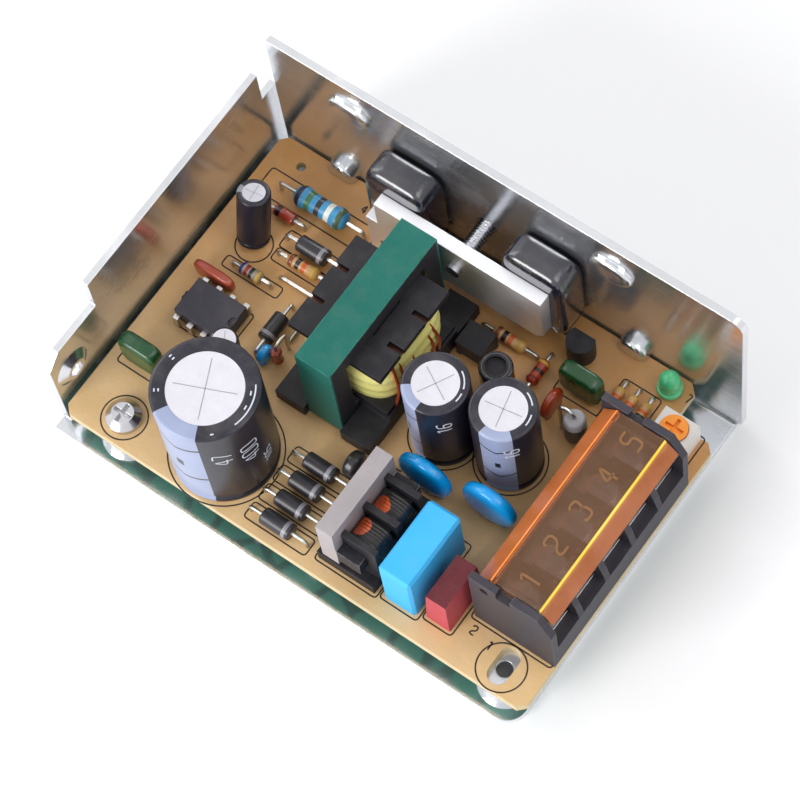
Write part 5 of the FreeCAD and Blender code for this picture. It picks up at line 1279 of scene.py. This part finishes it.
def cover_digits():
    """The numbers 1 to 5 moulded under the clear cover, one over each way."""
    top = box("terminal_cover")[1][2] - DIGIT_BELOW
    surface = Surface()
    for way in range(5):
        spot = on_board(DIGIT_AT[0], DIGIT_AT[1] + DIGIT_PITCH * way)
        spot[2] = top
        write_text(surface, str(way + 1), DIGIT_HEIGHT,
                   lambda points: points[:, [1, 0, 2]] * (-1, 1, 1) + spot, width=0.34, depth=0.2)
    surface.write("cover_digits", "cover", "amber_cover", ["digit"])


def solder_joints():
    """A cone of solder round each lead under the board, r falling from the pad to the wire."""
    profile = eased([(LEAD - 0.05, -2.3), (LEAD + 0.05, -1.5), (0.5, -0.7), (SOLDER_RADIUS, -0.12),
                     (SOLDER_RADIUS, 0.02)], 0.5, 4)
    cone = lathe(profile, 16)
    surface = Surface()
    for foot in FEET:
        surface.grid(cone + np.array([*foot, BOARD_LOW[2]]), 0)
    surface.write("solder_joints", "base", "bright_steel", ["solder"])


# studio

# name, watts, side and place in metres
LAMPS = (("key", 7.5, 0.5, (-0.24, -0.83, 0.42)), ("fill", 2.5, 0.6, (-0.7, 0.1, 0.5)),
         ("top", 1.5, 0.5, (0.5, 0.1, 0.8)))
FLOOR_REACH = 3.0


def studio():
    """Pale floor, white surroundings and soft lamps."""
    mesh = bpy.data.meshes.new("floor")
    square = np.array([(-1, -1, 0), (1, -1, 0), (1, 1, 0), (-1, 1, 0)]) * FLOOR_REACH
    mesh.from_pydata(square.tolist(), [], [(0, 1, 2, 3)])
    floor = bpy.data.objects.new("floor", mesh)
    bpy.context.scene.collection.objects.link(floor)
    made, tree, shader = blank("floor")
    shader.inputs["Base Color"].default_value = srgb(246, 246, 246)
    shader.inputs["Roughness"].default_value = 0.9
    shader.inputs["Specular IOR Level"].default_value = 0.1
    mesh.materials.append(made)
    world = bpy.data.worlds.new("surroundings")
    bpy.context.scene.world = world
    world.use_nodes = True
    tree = world.node_tree
    rise = ramped(tree, coordinate(tree, "Generated", "Z"), -0.1, 0.9)
    sky = mixed(tree, rise, (0.52, 0.53, 0.56, 1), (0.72, 0.72, 0.74, 1))
    rays = put(tree, "LightPath").outputs
    seen = maths(tree, "MAXIMUM", rays["Is Camera Ray"],
                 maths(tree, "MAXIMUM", rays["Is Glossy Ray"], rays["Is Transmission Ray"]))
    tree.links.new(mixed(tree, seen, sky, (1, 1, 1, 1)), tree.nodes["Background"].inputs["Color"])
    tree.nodes["Background"].inputs["Strength"].default_value = 1.0
    for name, power_watts, size, place in LAMPS:
        light = bpy.data.lights.new(name, "AREA")
        light.energy = power_watts
        light.size = size
        lamp_object = bpy.data.objects.new(name, light)
        lamp_object.location = place
        lamp_object.rotation_euler = (-Vector(place)).to_track_quat("-Z", "Y").to_euler()
        bpy.context.scene.collection.objects.link(lamp_object)


def camera():
    """The photograph's view."""
    turn, lean, roll = (math.radians(value) for value in (CAMERA_TURN, CAMERA_LEAN, CAMERA_ROLL))
    back = np.array([math.sin(lean) * math.cos(turn), math.sin(lean) * math.sin(turn),
                     math.cos(lean)])
    right = unit(np.cross([0, 0, 1.0], back))
    up = np.cross(back, right)
    rolled_right = math.cos(roll) * right + math.sin(roll) * up
    rolled_up = math.cos(roll) * up - math.sin(roll) * right
    data = bpy.data.cameras.new("camera")
    data.lens = CAMERA_LENS
    data.sensor_width = 36.0
    data.clip_end = CAMERA_FAR
    seen = bpy.data.objects.new("camera", data)
    bpy.context.scene.collection.objects.link(seen)
    place = (on_board(*CAMERA_AIM) + back * CAMERA_DISTANCE) * MM
    matrix = np.eye(4)
    matrix[:3] = np.stack([rolled_right, rolled_up, back, place], -1)
    seen.matrix_world = Matrix(matrix)
    bpy.context.scene.camera = seen


for build in (
        dress_nodes, cans, can_print, axials, jumpers, uprights, discs, dipped_blocks, lamp,
        transformer_winding, transformer_wires, choke_windings, inductor_sleeve, power_sleeves,
        pressed_bumps, screw_thread, board_print, sleeve_print, cover_digits, solder_joints, studio,
        camera):
    build()
bpy.context.scene.view_settings.view_transform = "Standard"
